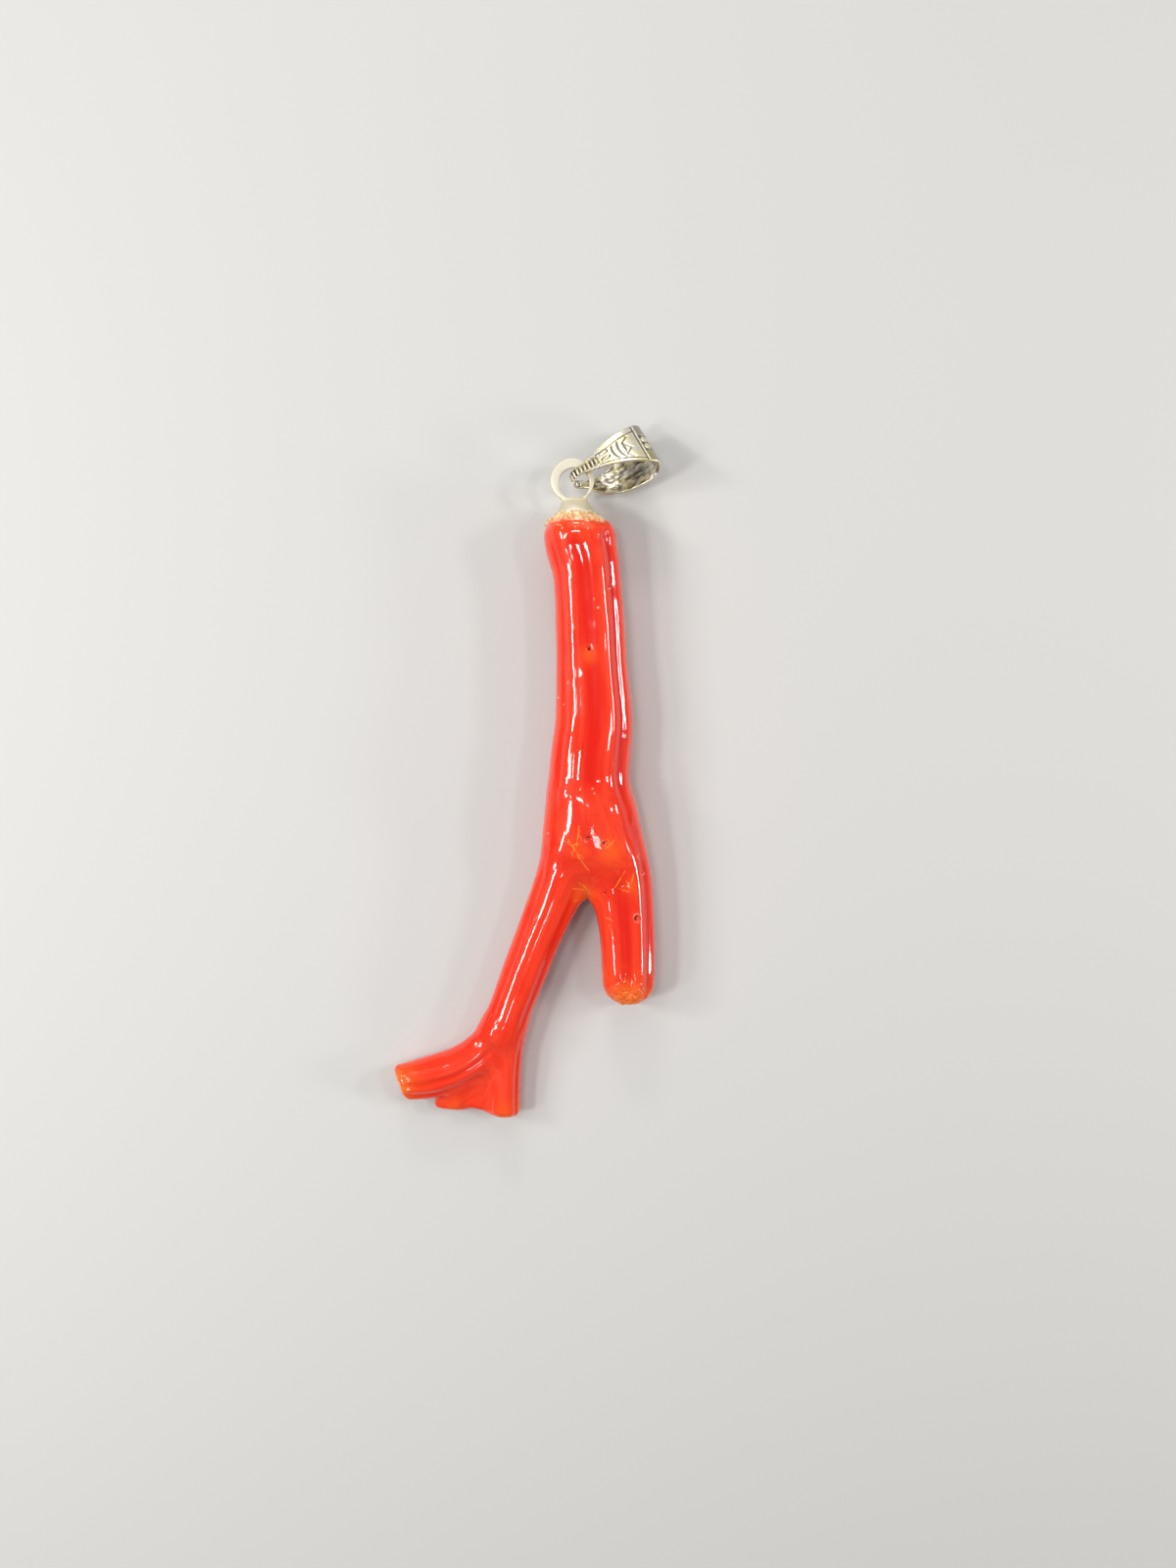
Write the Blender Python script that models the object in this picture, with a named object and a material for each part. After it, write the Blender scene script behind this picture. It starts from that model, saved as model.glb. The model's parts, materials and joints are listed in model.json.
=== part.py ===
"""A polished branch of red coral made up as a pendant.

The branch lies on its back on the plane z = 0. Its trunk runs along Y, it forks into a short and a
long branch, and the long one ends in a foot of two twigs. A small silver cap with a cast loop is
glued on top of the trunk, and a tapered bail hangs loose on the loop.

The drawing's own origin is a point in the trunk, a little above the fork. One empty moves it all,
so that the middle of the whole outline is over the world's origin. The sizes below are millimetres.
"""

import math

import bmesh
import bpy
import numpy as np
from mathutils import Matrix, Vector

MM = 0.001
PLACE = (6.86, -1.32, 0.0)
GAP = 0.3

# A limb's stations: x, y, z of its axis, half its width and half its depth.
TRUNK = (
    (-0.85, 29.75, 3.85, 4.1, 3.7),
    (-0.85, 27.7, 3.85, 4.15, 3.75),
    (-0.65, 26.2, 3.8, 4.05, 3.7),
    (-0.25, 24.4, 3.75, 3.9, 3.65),
    (0.0, 22.0, 3.6, 3.85, 3.65),
    (0.25, 17.6, 3.52, 3.95, 3.65),
    (0.4, 13.2, 3.52, 4.05, 3.67),
    (0.65, 7.15, 3.62, 4.4, 3.8),
    (0.35, 3.85, 3.71, 4.5, 3.89),
    (0.1, 1.1, 3.74, 4.55, 3.91),
    (0.05, -1.3, 3.72, 4.55, 3.87),
    (0.2, -4.2, 3.6, 4.65, 3.75),
    (0.35, -6.8, 3.5, 4.5, 3.5),
    (0.2, -9.45, 3.4, 3.9, 3.0),
)
SHORT_BRANCH = (
    (1.7, -1.1, 3.6, 2.5, 3.2),
    (2.8, -5.5, 3.5, 2.8, 3.2),
    (3.7, -9.9, 3.3, 3.35, 3.15),
    (4.15, -14.1, 3.15, 3.3, 3.1),
    (4.45, -17.6, 3.05, 3.15, 3.05),
    (4.55, -22.0, 2.95, 3.0, 3.0),
    (4.5, -25.0, 2.9, 2.8, 2.85),
)
LONG_BRANCH = (
    (-0.9, -1.1, 3.6, 2.8, 3.2),
    (-1.95, -5.5, 3.5, 2.8, 3.05),
    (-2.85, -9.9, 3.4, 2.9, 2.8),
    (-4.25, -13.85, 3.2, 2.8, 2.6),
    (-5.8, -17.6, 3.0, 2.6, 2.5),
    (-7.45, -22.0, 2.9, 2.55, 2.4),
    (-9.05, -26.0, 2.8, 2.4, 2.35),
    (-10.3, -28.8, 2.5, 2.0, 2.2),
)
TOE = (
    (-9.75, -26.9, 2.5, 1.8, 1.75),
    (-11.8, -30.0, 2.2, 2.2, 1.95),
    (-14.35, -31.9, 2.0, 2.3, 2.05),
    (-17.6, -33.25, 1.85, 2.45, 1.9),
    (-21.5, -34.0, 1.75, 2.05, 1.8),
)
HEEL = (
    (-8.65, -26.4, 2.5, 1.6, 1.75),
    (-9.05, -29.7, 2.15, 1.7, 1.9),
    (-9.3, -33.0, 1.95, 1.7, 2.0),
    (-9.5, -37.7, 1.75, 1.8, 1.8),
)
WEB = (
    (-10.45, -30.25, 1.6, 2.0, 1.3),
    (-11.65, -33.55, 1.3, 2.0, 1.2),
    (-12.3, -37.1, 1.15, 2.0, 1.1),
)
LOBE = (
    (-12.1, -31.9, 1.4, 1.8, 1.3),
    (-14.6, -34.4, 1.15, 2.3, 1.2),
    (-15.75, -37.15, 1.05, 1.95, 1.0),
)
# The way the sawn ends of the toe and the lobe face.
TOE_CUT = (-0.93, -0.37, 0.0)
LOBE_CUT = (-0.1, -1.0, 0.0)

# A groove along a limb: its place round the limb in degrees at both ends of the limb (0 is the
# right side, 90 the top), its depth, half its width in degrees, and the part of the limb it takes.
TRUNK_GROOVES = (
    (46, 38, 0.40, 9, 0.03, 0.97),
    (100, 80, 0.30, 16, 0.05, 0.80),
    (141, 136, 0.16, 9, 0.05, 0.90),
    (205, 200, 0.20, 12, 0.05, 0.90),
    (238, 241, 0.30, 14, 0.08, 0.85),
    (308, 303, 0.28, 14, 0.05, 0.90),
)
SHORT_GROOVES = (
    (92, 97, 0.34, 16, 0.30, 1.10),
    (38, 42, 0.28, 11, 0.10, 1.10),
    (250, 256, 0.25, 15, 0.35, 1.10),
)
LONG_GROOVES = (
    (46, 38, 0.22, 12, 0.25, 1.10),
    (140, 132, 0.14, 10, 0.25, 1.10),
    (262, 270, 0.22, 14, 0.25, 1.10),
)
TOE_GROOVES = ((72, 82, 0.24, 9, 0.15, 1.10), (10, 52, 0.26, 10, 0.35, 1.10))
HEEL_GROOVES = ((44, 40, 0.18, 9, 0.15, 1.10),)

# How softly each limb's cut end is rounded, and how wide the fillet is where it joins the others.
TRUNK_EDGE = 1.5
SHORT_EDGE = 2.5
LONG_EDGE = 0.8
TWIG_EDGE = 0.6
SHORT_FILLET = 3.1
LONG_FILLET = 2.2
TWIG_FILLET = 1.6
WEB_FILLET = 1.2
LOBE_FILLET = 0.8

# The size of the coral's faces, and how its points are moved onto the drawn surface.
MESH_STEP = 0.85
TUBE_SIDES = 20
PROJECTION_ROUNDS = 6
SLOPE_STEP = 0.02
LONGEST_MOVE = 0.6

# The forks, as points in plan: the crotch, and where its two cuts leave the coral.
FORK = (-0.15, -13.7)
FORK_LEFT = (-5.9, -9.7)
FORK_RIGHT = (7.2, -9.3)
ANKLE = (-11.0, -30.6)
ANKLE_LEFT = (-13.2, -27.5)
ANKLE_RIGHT = (-7.0, -28.8)
FOOT_SPLIT = (-17.3, -35.65)

CAP_X = -1.35
CAP_Z = 3.75
CAP_BASE = 30.8
GLUE_FOOT = 30.05
LOOP_CENTRE = (-1.76, 34.1)
LOOP_RADIUS = 2.48
LOOP_HALF_THICKNESS = 0.28
LOOP_EDGE = 0.14
HOLE_RADIUS = 1.70
HOLE_OFFSET = (0.20, -0.40)
LOOP_STEPS = 48

# The cap's cross sections: distance above its base, half width, half depth.
CAP_SECTIONS = (
    (0.0, 2.18, 2.18),
    (0.15, 2.22, 2.22),
    (0.50, 1.85, 1.70),
    (0.80, 1.52, 1.00),
    (1.10, 1.42, 0.50),
    (1.36, 1.40, 0.25),
)
CAP_SIDES = 28
LOOP_NECK_SHIFT = 0.3

# The glue's cross sections, height and radius, and its uneven outline: waves round it and depths.
GLUE_SECTIONS = ((0.0, 3.10), (0.18, 3.05), (0.33, 2.80), (0.45, 2.55))
GLUE_SHIFT = 0.2
GLUE_WAVES = ((3, 0.035, 0.6), (7, 0.02, 0.0))

# The bail's middle line, in the plane of its length and its depth, from the tip over the front
# leaf to the fold and back under the loop. The tip is a round bend.
BAIL_AZIMUTH = 25.0
BAIL_ROLL = -29.0
BAIL_TIP = -0.18
BAIL_SIDE = 0.20
BEND_CENTRE = (1.25, 0.15)
BEND_RADIUS = 1.10
BEND_START = 250.0
BEND_SWEEP = 150.0
BEND_STEPS = 9
FRONT_LEAF = ((2.3, 1.36), (3.9, 1.62), (5.6, 1.72), (7.3, 1.50))
CREASE = (8.70, 1.05)
FOLD = ((9.35, 0.66), (9.62, 0.05), (9.50, -0.72))
BACK_LEAF = ((8.95, -1.55), (7.5, -2.32), (6.0, -2.72), (4.5, -2.85), (3.2, -2.55), (2.15, -1.88))
BAIL_HALF_THICKNESS = 0.17
TIP_HALF_WIDTH = 0.60
FOLD_HALF_WIDTH = 2.9
TAPER_START = 1.8
TAPER_END = 1.03
# The power that makes the back leaf widen sooner than the front one.
BACK_SWELL = 0.65

SHARP_ANGLE = 40.0


def unit(vector):
    """The vector at length one."""
    return vector / np.linalg.norm(vector)


def smooth_path(stations, per_span=4):
    """Rows on a smooth curve through the stations."""
    stations = np.array(stations, float)
    last = len(stations) - 1
    rows = []
    for i in range(last):
        before, a = stations[max(i - 1, 0)], stations[i]
        b, after = stations[i + 1], stations[min(i + 2, last)]
        for step in range(per_span):
            t = step / per_span
            bend = (2 * before - 5 * a + 4 * b - after) * t**2 + (3 * a - before - 3 * b + after) * t**3
            rows.append(a + 0.5 * ((b - before) * t + bend))
    rows.append(stations[last])
    return np.array(rows)


class Limb:
    """One arm of the coral: a smooth axis with an oval, grooved section and two cut ends."""

    def __init__(self, stations, grooves, edge, fillet, cut=None):
        self.path = smooth_path(stations)
        self.grooves = grooves
        self.edge = edge
        self.fillet = fillet
        places = self.path[:, :3]
        self.start_cut = unit(places[0] - places[1])
        self.end_cut = unit(places[-1] - places[-2]) if cut is None else unit(np.array(cut))

    def distance(self, points):
        """About how far each point is outside the limb; less than 0 inside."""
        count = len(points)
        nearest = np.full(count, np.inf)
        # For each point: its place beside and above the axis, the half width and half depth there,
        # and how far along the limb it is.
        found = np.zeros((5, count))
        spans = len(self.path) - 1
        for i in range(spans):
            a, b = self.path[i], self.path[i + 1]
            span = b[:3] - a[:3]
            t = np.clip((points - a[:3]) @ span / (span @ span), 0, 1)
            off = points - a[:3] - t[:, None] * span
            gap = np.einsum("ij,ij->i", off, off)
            side = unit(np.cross((0, 0, 1), span))
            up = unit(np.cross(span, side))
            sizes = a[3:, None] + t * (b - a)[3:, None]
            here = np.stack([off @ side, off @ up, sizes[0], sizes[1], (i + t) / spans])
            found = np.where(gap < nearest, here, found)
            nearest = np.minimum(gap, nearest)
        beside, above, wide, deep, along = found
        reach = np.hypot(beside, above) + 1e-9
        ratio = np.hypot(beside / wide, above / deep) + 1e-9
        wall = reach - reach / ratio
        angle = np.degrees(np.arctan2(above / deep, beside / wide))
        for first, last, depth, width, start, stop in self.grooves:
            turn = (angle - first - (last - first) * along + 180) % 360 - 180
            fade = np.clip((along - start) / 0.08, 0, 1) * np.clip((stop - along) / 0.08, 0, 1)
            wall = wall + depth * fade * np.exp(-((turn / width) ** 2)) * np.clip(ratio, 0, 1.2)
        start_end = (points - self.path[0, :3]) @ self.start_cut
        far_end = (points - self.path[-1, :3]) @ self.end_cut
        across = wall + self.edge
        beyond = np.maximum(start_end, far_end) + self.edge
        inside = np.minimum(np.maximum(across, beyond), 0)
        return inside + np.hypot(np.maximum(across, 0), np.maximum(beyond, 0)) - self.edge

    def tube(self, mesh):
        """Add the limb to the mesh as a plain closed tube, a little slimmer than it is."""
        rings = []
        for i, row in enumerate(self.path):
            ahead = self.path[min(i + 1, len(self.path) - 1), :3] - self.path[max(i - 1, 0), :3]
            side = unit(np.cross((0, 0, 1), ahead))
            up = unit(np.cross(ahead, side))
            ring = []
            for k in range(TUBE_SIDES):
                turn = math.tau * k / TUBE_SIDES
                place = row[:3] + side * row[3] * math.cos(turn) + up * row[4] * math.sin(turn)
                ring.append(mesh.verts.new(place))
            rings.append(ring)
        skin(mesh, rings)


def skin(mesh, rings, closed=False):
    """Join rings of vertices with faces, and close the two ends unless the rings make a loop."""
    count = len(rings[0])
    pairs = list(zip(rings, rings[1:]))
    if closed:
        pairs.append((rings[-1], rings[0]))
    for a, b in pairs:
        for k in range(count):
            mesh.faces.new((a[k], a[(k + 1) % count], b[(k + 1) % count], b[k]))
    if not closed:
        mesh.faces.new(rings[0][::-1])
        mesh.faces.new(rings[-1])


def coral_limbs():
    """Every limb of the branch, in the order in which they are blended."""
    return [
        Limb(TRUNK, TRUNK_GROOVES, TRUNK_EDGE, LONG_FILLET),
        Limb(LONG_BRANCH, LONG_GROOVES, LONG_EDGE, LONG_FILLET),
        Limb(SHORT_BRANCH, SHORT_GROOVES, SHORT_EDGE, SHORT_FILLET),
        Limb(TOE, TOE_GROOVES, TWIG_EDGE, TWIG_FILLET, TOE_CUT),
        Limb(HEEL, HEEL_GROOVES, LONG_EDGE, TWIG_FILLET),
        Limb(WEB, (), TWIG_EDGE, WEB_FILLET),
        Limb(LOBE, (), TWIG_EDGE, LOBE_FILLET, LOBE_CUT),
    ]


def coral_field(points, limbs):
    """The distance to the whole branch, with a soft fillet where two limbs meet."""
    total = limbs[0].distance(points)
    for limb in limbs[1:]:
        one = limb.distance(points)
        mix = np.clip(0.5 + 0.5 * (one - total) / limb.fillet, 0, 1)
        total = one + (total - one) * mix - limb.fillet * mix * (1 - mix)
    return total


def settle_on_field(points, limbs):
    """Move points along the field's slope until they lie on the surface of the branch."""
    for _ in range(PROJECTION_ROUNDS):
        here = coral_field(points, limbs)
        slope = np.empty_like(points)
        for axis in range(3):
            shifted = points.copy()
            shifted[:, axis] += SLOPE_STEP
            slope[:, axis] = (coral_field(shifted, limbs) - here) / SLOPE_STEP
        steep = np.maximum(np.einsum("ij,ij->i", slope, slope), 0.25)
        move = slope * (here / steep)[:, None]
        far = np.linalg.norm(move, axis=1) + 1e-9
        points = points - move * np.minimum(1, LONGEST_MOVE / far)[:, None]
    return points


def coral_mesh():
    """The whole branch as one closed mesh, in millimetres, with small flats where it rests."""
    limbs = coral_limbs()
    rough = bmesh.new()
    for limb in limbs:
        limb.tube(rough)
    bmesh.ops.recalc_face_normals(rough, faces=rough.faces)
    mesh = bpy.data.meshes.new("rough_coral")
    rough.to_mesh(mesh)
    rough.free()
    guide = bpy.data.objects.new("rough_coral", mesh)
    bpy.context.collection.objects.link(guide)
    even = guide.modifiers.new("even_faces", "REMESH")
    even.mode = "VOXEL"
    even.voxel_size = MESH_STEP
    finished = guide.evaluated_get(bpy.context.evaluated_depsgraph_get())
    whole = bpy.data.meshes.new_from_object(finished)
    bpy.data.objects.remove(guide)
    points = np.empty(len(whole.vertices) * 3)
    whole.vertices.foreach_get("co", points)
    points = settle_on_field(points.reshape(-1, 3), limbs)
    points[:, 2] = np.maximum(points[:, 2], 0)
    whole.vertices.foreach_set("co", points.ravel())
    return whole


def keep_side(mesh, point, toward):
    """Cut the mesh by an upright plane through the point, and keep what lies toward one side."""
    geometry = mesh.verts[:] + mesh.edges[:] + mesh.faces[:]
    cut = bmesh.ops.bisect_plane(
        mesh, geom=geometry, dist=1e-5, plane_co=(*point, 0), plane_no=(*toward, 0), clear_inner=True
    )
    rim = [part for part in cut["geom_cut"] if isinstance(part, bmesh.types.BMEdge)]
    if rim:
        bmesh.ops.edgeloop_fill(mesh, edges=rim)


def plane_between(a, b, toward):
    """The unit normal, in plan, of the line through a and b, on the side of the point toward."""
    normal = Vector((b[1] - a[1], a[0] - b[0])).normalized()
    return normal if normal.dot(Vector(toward) - Vector(a)) > 0 else -normal


def cut_piece(whole, cuts):
    """A copy of the branch cut down by planes: each is two points, a side to keep, and a setback."""
    mesh = bmesh.new()
    mesh.from_mesh(whole)
    for a, b, toward, setback in cuts:
        normal = plane_between(a, b, toward)
        keep_side(mesh, Vector(a) + normal * setback, normal)
    return mesh


def coral_pieces():
    """The branch cut at its two forks, with a narrow gap at each cut."""
    whole = coral_mesh()
    top, end = (0.0, 20.0), (-8.0, -25.0)
    left, right, toe, heel = (-5.5, -20.0), (4.5, -20.0), (-20.0, -33.0), (-9.0, -37.0)
    notch = (FORK[0], -40.0)
    cuts = {
        "trunk": ((FORK, FORK_LEFT, top, 0), (FORK, FORK_RIGHT, top, 0)),
        "short_branch": ((FORK, FORK_RIGHT, right, GAP), (FORK, notch, right, 0)),
        "long_branch": (
            (FORK, FORK_LEFT, left, GAP),
            (FORK, notch, left, 0),
            (ANKLE, ANKLE_LEFT, end, 0),
            (ANKLE, ANKLE_RIGHT, end, 0),
        ),
        "toe_twig": ((ANKLE, ANKLE_LEFT, toe, GAP), (ANKLE, FOOT_SPLIT, toe, GAP / 2)),
        "heel_twig": (
            (ANKLE, ANKLE_RIGHT, heel, GAP),
            (ANKLE, FOOT_SPLIT, heel, GAP / 2),
            (FORK, notch, left, 0),
        ),
    }
    for name, planes in cuts.items():
        add_piece(name, cut_piece(whole, planes), "coral")
    bpy.data.meshes.remove(whole)


def add_glue():
    """The bead of glue between the coral and the cap: a low round of uneven width."""
    mesh = bmesh.new()
    rings = []
    for height, radius in GLUE_SECTIONS:
        ring = []
        for k in range(CAP_SIDES):
            turn = math.tau * k / CAP_SIDES
            wave = sum(deep * math.sin(count * turn + start) for count, deep, start in GLUE_WAVES)
            reach = radius * (1 + wave)
            x = CAP_X + GLUE_SHIFT + reach * math.cos(turn)
            z = CAP_Z + reach * math.sin(turn)
            ring.append(mesh.verts.new((x, GLUE_FOOT + height, z)))
        rings.append(ring)
    skin(mesh, rings)
    add_piece("glue_collar", mesh, "glue")


def hole_edge(turn):
    """How far the edge of the loop's hole is from the loop's centre, in one direction."""
    ahead = HOLE_OFFSET[0] * math.cos(turn) + HOLE_OFFSET[1] * math.sin(turn)
    across = HOLE_OFFSET[0] * math.sin(turn) - HOLE_OFFSET[1] * math.cos(turn)
    return ahead + math.sqrt(HOLE_RADIUS**2 - across**2)


def loop_mesh():
    """The cast loop: a flat band with soft edges whose hole is a little off its centre."""
    mesh = bmesh.new()
    rings = []
    flat, low = LOOP_HALF_THICKNESS, LOOP_HALF_THICKNESS - LOOP_EDGE
    for i in range(LOOP_STEPS):
        turn = math.tau * i / LOOP_STEPS
        inner, outer = hole_edge(turn), LOOP_RADIUS
        section = (
            (inner, -low),
            (inner + LOOP_EDGE, -flat),
            (outer - LOOP_EDGE, -flat),
            (outer, -low),
            (outer, low),
            (outer - LOOP_EDGE, flat),
            (inner + LOOP_EDGE, flat),
            (inner, low),
        )
        ring = []
        for reach, height in section:
            x = LOOP_CENTRE[0] + reach * math.cos(turn)
            y = LOOP_CENTRE[1] + reach * math.sin(turn)
            ring.append(mesh.verts.new((x, y, CAP_Z + height)))
        rings.append(ring)
    skin(mesh, rings, closed=True)
    return mesh


def cap_mesh():
    """The cap: a round foot that narrows into the flat neck under the loop."""
    mesh = bmesh.new()
    rings = []
    for height, wide, deep in CAP_SECTIONS:
        lean = (LOOP_CENTRE[0] + LOOP_NECK_SHIFT - CAP_X) * height / CAP_SECTIONS[-1][0]
        ring = []
        for k in range(CAP_SIDES):
            turn = math.tau * k / CAP_SIDES
            x = CAP_X + lean + wide * math.cos(turn)
            ring.append(mesh.verts.new((x, CAP_BASE + height, CAP_Z + deep * math.sin(turn))))
        rings.append(ring)
    skin(mesh, rings)
    return mesh


def add_cap():
    """The end cap: the cup, its neck and its loop are one casting."""
    cap = add_piece("end_cap", cap_mesh(), "silver")
    loop = add_piece("loop_tool", loop_mesh(), "silver")
    loop.hide_render = True
    loop.display_type = "WIRE"
    cast = cap.modifiers.new("cast_loop", "BOOLEAN")
    cast.operation = "UNION"
    cast.solver = "EXACT"
    cast.object = loop


def bail_half_width(length, swell):
    """Half the strip's width at one place along the bail."""
    part = max(0.0, (length - TAPER_START) / (CREASE[0] - TAPER_START))
    return TIP_HALF_WIDTH + (FOLD_HALF_WIDTH - TIP_HALF_WIDTH) * min(part, TAPER_END) ** swell


def bail_line():
    """The bail's middle line, once round: length, depth and half the strip's width."""
    bend = []
    for k in range(BEND_STEPS):
        turn = math.radians(BEND_START - BEND_SWEEP * k / (BEND_STEPS - 1))
        length = BEND_CENTRE[0] + BEND_RADIUS * math.cos(turn)
        bend.append((length, BEND_CENTRE[1] + BEND_RADIUS * math.sin(turn)))
    front = smooth_path(bend[-1:] + list(FRONT_LEAF) + [CREASE], 3)[1:-1]
    back = smooth_path([CREASE, *FOLD, *BACK_LEAF, bend[0]], 2)[:-1]
    rows = [(*place, bail_half_width(place[0], 1.0)) for place in (*bend, *front)]
    rows += [(*place, bail_half_width(place[0], BACK_SWELL)) for place in back]
    return np.array(rows)


def add_bail():
    """The bail: a tapered strip bent round into a closed loop, which passes through the cap's loop."""
    line = bail_line()
    mesh = bmesh.new()
    rings = []
    count = len(line)
    for i, (length, depth, half) in enumerate(line):
        ahead = line[(i + 1) % count] - line[i - 1]
        out = unit(np.array((-ahead[1], ahead[0])))
        ring = []
        for across, side in ((-half, 1), (half, 1), (half, -1), (-half, -1)):
            shift = out * side * BAIL_HALF_THICKNESS
            ring.append(mesh.verts.new((length + shift[0] + BAIL_TIP, across, depth + shift[1])))
        rings.append(ring)
    skin(mesh, rings, closed=True)
    roll = Matrix.Rotation(math.radians(BAIL_ROLL), 4, "X")
    aside = Matrix.Translation((0, -BAIL_SIDE, 0))
    bail = add_piece("bail", mesh, "silver", smooth=False, shape_turn=aside @ roll)
    bail.location = (LOOP_CENTRE[0] * MM, LOOP_CENTRE[1] * MM, CAP_Z * MM)
    bail.rotation_euler = (0, 0, math.radians(BAIL_AZIMUTH))


def material(name):
    """One of the pendant's three finishes."""
    looks = {
        "coral": ((0.85, 0.055, 0.025, 1), 0.12, 0.0),
        "silver": ((0.86, 0.82, 0.72, 1), 0.22, 1.0),
        "glue": ((0.80, 0.55, 0.25, 1), 0.25, 0.0),
    }
    found = bpy.data.materials.get(name)
    if found:
        return found
    new = bpy.data.materials.new(name)
    new.use_nodes = True
    shader = new.node_tree.nodes["Principled BSDF"]
    shader.inputs["Base Color"].default_value = looks[name][0]
    shader.inputs["Roughness"].default_value = looks[name][1]
    shader.inputs["Metallic"].default_value = looks[name][2]
    return new


def add_piece(name, shape, finish, smooth=True, shape_turn=None):
    """Make an object of a shape drawn in millimetres, under the empty that places the pendant."""
    bmesh.ops.recalc_face_normals(shape, faces=shape.faces)
    if shape_turn is not None:
        bmesh.ops.transform(shape, matrix=shape_turn, verts=shape.verts)
    bmesh.ops.scale(shape, vec=(MM, MM, MM), verts=shape.verts)
    mesh = bpy.data.meshes.new(name)
    shape.to_mesh(mesh)
    shape.free()
    if smooth:
        mesh.shade_smooth()
        mesh.set_sharp_from_angle(angle=math.radians(SHARP_ANGLE))
    mesh.materials.append(material(finish))
    piece = bpy.data.objects.new(name, mesh)
    bpy.context.collection.objects.link(piece)
    piece.parent = bpy.data.objects["pendant"]
    return piece


def main():
    """Build the pendant."""
    for old in list(bpy.data.objects):
        bpy.data.objects.remove(old)
    pendant = bpy.data.objects.new("pendant", None)
    bpy.context.collection.objects.link(pendant)
    pendant.location = [size * MM for size in PLACE]
    coral_pieces()
    add_glue()
    add_cap()
    add_bail()


main()
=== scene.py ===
# %% [markdown]
# # A branch of red coral, made up as a pendant
#
# The real thing is a forked branch of red coral, ground smooth and polished, with a small silver cap
# glued on its top, a cast loop on the cap, and a tapered bail that hangs loose on the loop.
#
# Its solids were modelled first and packed with their joint. They are loaded here as a fixed frame,
# and each piece below is made in the place that the frame gives it, so nothing has to be fitted.

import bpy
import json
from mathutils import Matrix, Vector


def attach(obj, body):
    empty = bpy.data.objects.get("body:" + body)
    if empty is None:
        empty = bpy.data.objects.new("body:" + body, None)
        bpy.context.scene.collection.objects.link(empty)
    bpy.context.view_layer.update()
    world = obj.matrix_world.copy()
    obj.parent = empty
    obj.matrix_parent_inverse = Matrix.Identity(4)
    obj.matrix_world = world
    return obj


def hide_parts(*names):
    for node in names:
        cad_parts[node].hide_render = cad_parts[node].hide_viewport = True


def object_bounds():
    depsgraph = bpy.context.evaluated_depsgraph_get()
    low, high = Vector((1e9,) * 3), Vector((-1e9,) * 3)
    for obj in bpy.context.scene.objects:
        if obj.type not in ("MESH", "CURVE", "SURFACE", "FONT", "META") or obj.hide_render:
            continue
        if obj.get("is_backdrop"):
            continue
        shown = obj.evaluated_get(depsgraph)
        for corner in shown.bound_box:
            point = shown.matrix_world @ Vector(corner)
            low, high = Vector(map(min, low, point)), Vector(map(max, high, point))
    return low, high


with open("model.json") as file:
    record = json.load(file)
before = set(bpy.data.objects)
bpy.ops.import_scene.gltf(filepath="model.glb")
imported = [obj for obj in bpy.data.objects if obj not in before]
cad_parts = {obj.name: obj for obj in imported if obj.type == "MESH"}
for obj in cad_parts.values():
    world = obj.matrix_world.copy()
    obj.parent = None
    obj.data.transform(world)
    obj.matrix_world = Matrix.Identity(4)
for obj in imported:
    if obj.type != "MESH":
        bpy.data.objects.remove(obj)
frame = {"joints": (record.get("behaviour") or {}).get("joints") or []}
SOLIDS_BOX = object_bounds()
print("the solids' box, mm:", [[round(1000 * size, 2) for size in corner] for corner in SOLIDS_BOX])

# %% What the script works with
import json
import math

import bmesh
import bpy
import numpy as np
from mathutils import Matrix, Vector, noise

MM = 0.001
SEED = 7

# %% [markdown]
# ## Where things are
#
# The branch is drawn in millimetres round a point in its trunk, and the frame's origin is under the
# middle of the whole pendant. The two could be matched by eye. Here the loop's hinge, which the frame
# knows, gives the step between them, so a change of the solids moves every piece with it.

# %% The drawing's place in the frame
LOOP_CENTRE = np.array((-1.76, 34.10, 3.75))
hinge = np.array(frame["joints"][0]["pos_m"]) / MM
PLACE = hinge - LOOP_CENTRE
PLACE[2] = 0.0
print("the drawing is moved by", PLACE.round(2), "mm")

# %% Two helpers for every mesh and object
def to_data(mesh, name):
    """Mesh data made from a bmesh, which is used up."""
    data = bpy.data.meshes.new(name)
    mesh.to_mesh(data)
    mesh.free()
    return data


def new_object(name, data):
    """An object of this data, in the scene."""
    made = bpy.data.objects.new(name, data)
    bpy.context.scene.collection.objects.link(made)
    return made


# %% [markdown]
# ## Materials as sums
#
# A procedural material is arithmetic on textures. Wiring Math nodes by hand hides that arithmetic.
# A small class that wraps a socket and overloads the operators lets it be written as it is meant:
# an expression such as 1 - mask adds its own node.

# %% A socket that can be reckoned with
class Value:
    """An output socket. Sums of values add Math nodes to the material that they belong to."""

    def __init__(self, finish, socket):
        self.finish = finish
        self.socket = socket

    def sum(self, operation, first, second):
        """One Math node."""
        return self.finish.node("ShaderNodeMath", {"operation": operation}, {0: first, 1: second})

    def __add__(self, other):
        return self.sum("ADD", self, other)

    def __radd__(self, other):
        return self.sum("ADD", other, self)

    def __sub__(self, other):
        return self.sum("SUBTRACT", self, other)

    def __rsub__(self, other):
        return self.sum("SUBTRACT", other, self)

    def __mul__(self, other):
        return self.sum("MULTIPLY", self, other)

    def __rmul__(self, other):
        return self.sum("MULTIPLY", other, self)

    def between(self, low, high):
        """0 up to low, 1 from high, and an even slope between."""
        return self.finish.node("ShaderNodeMapRange", {"clamp": True}, {0: self, 1: low, 2: high})


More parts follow.
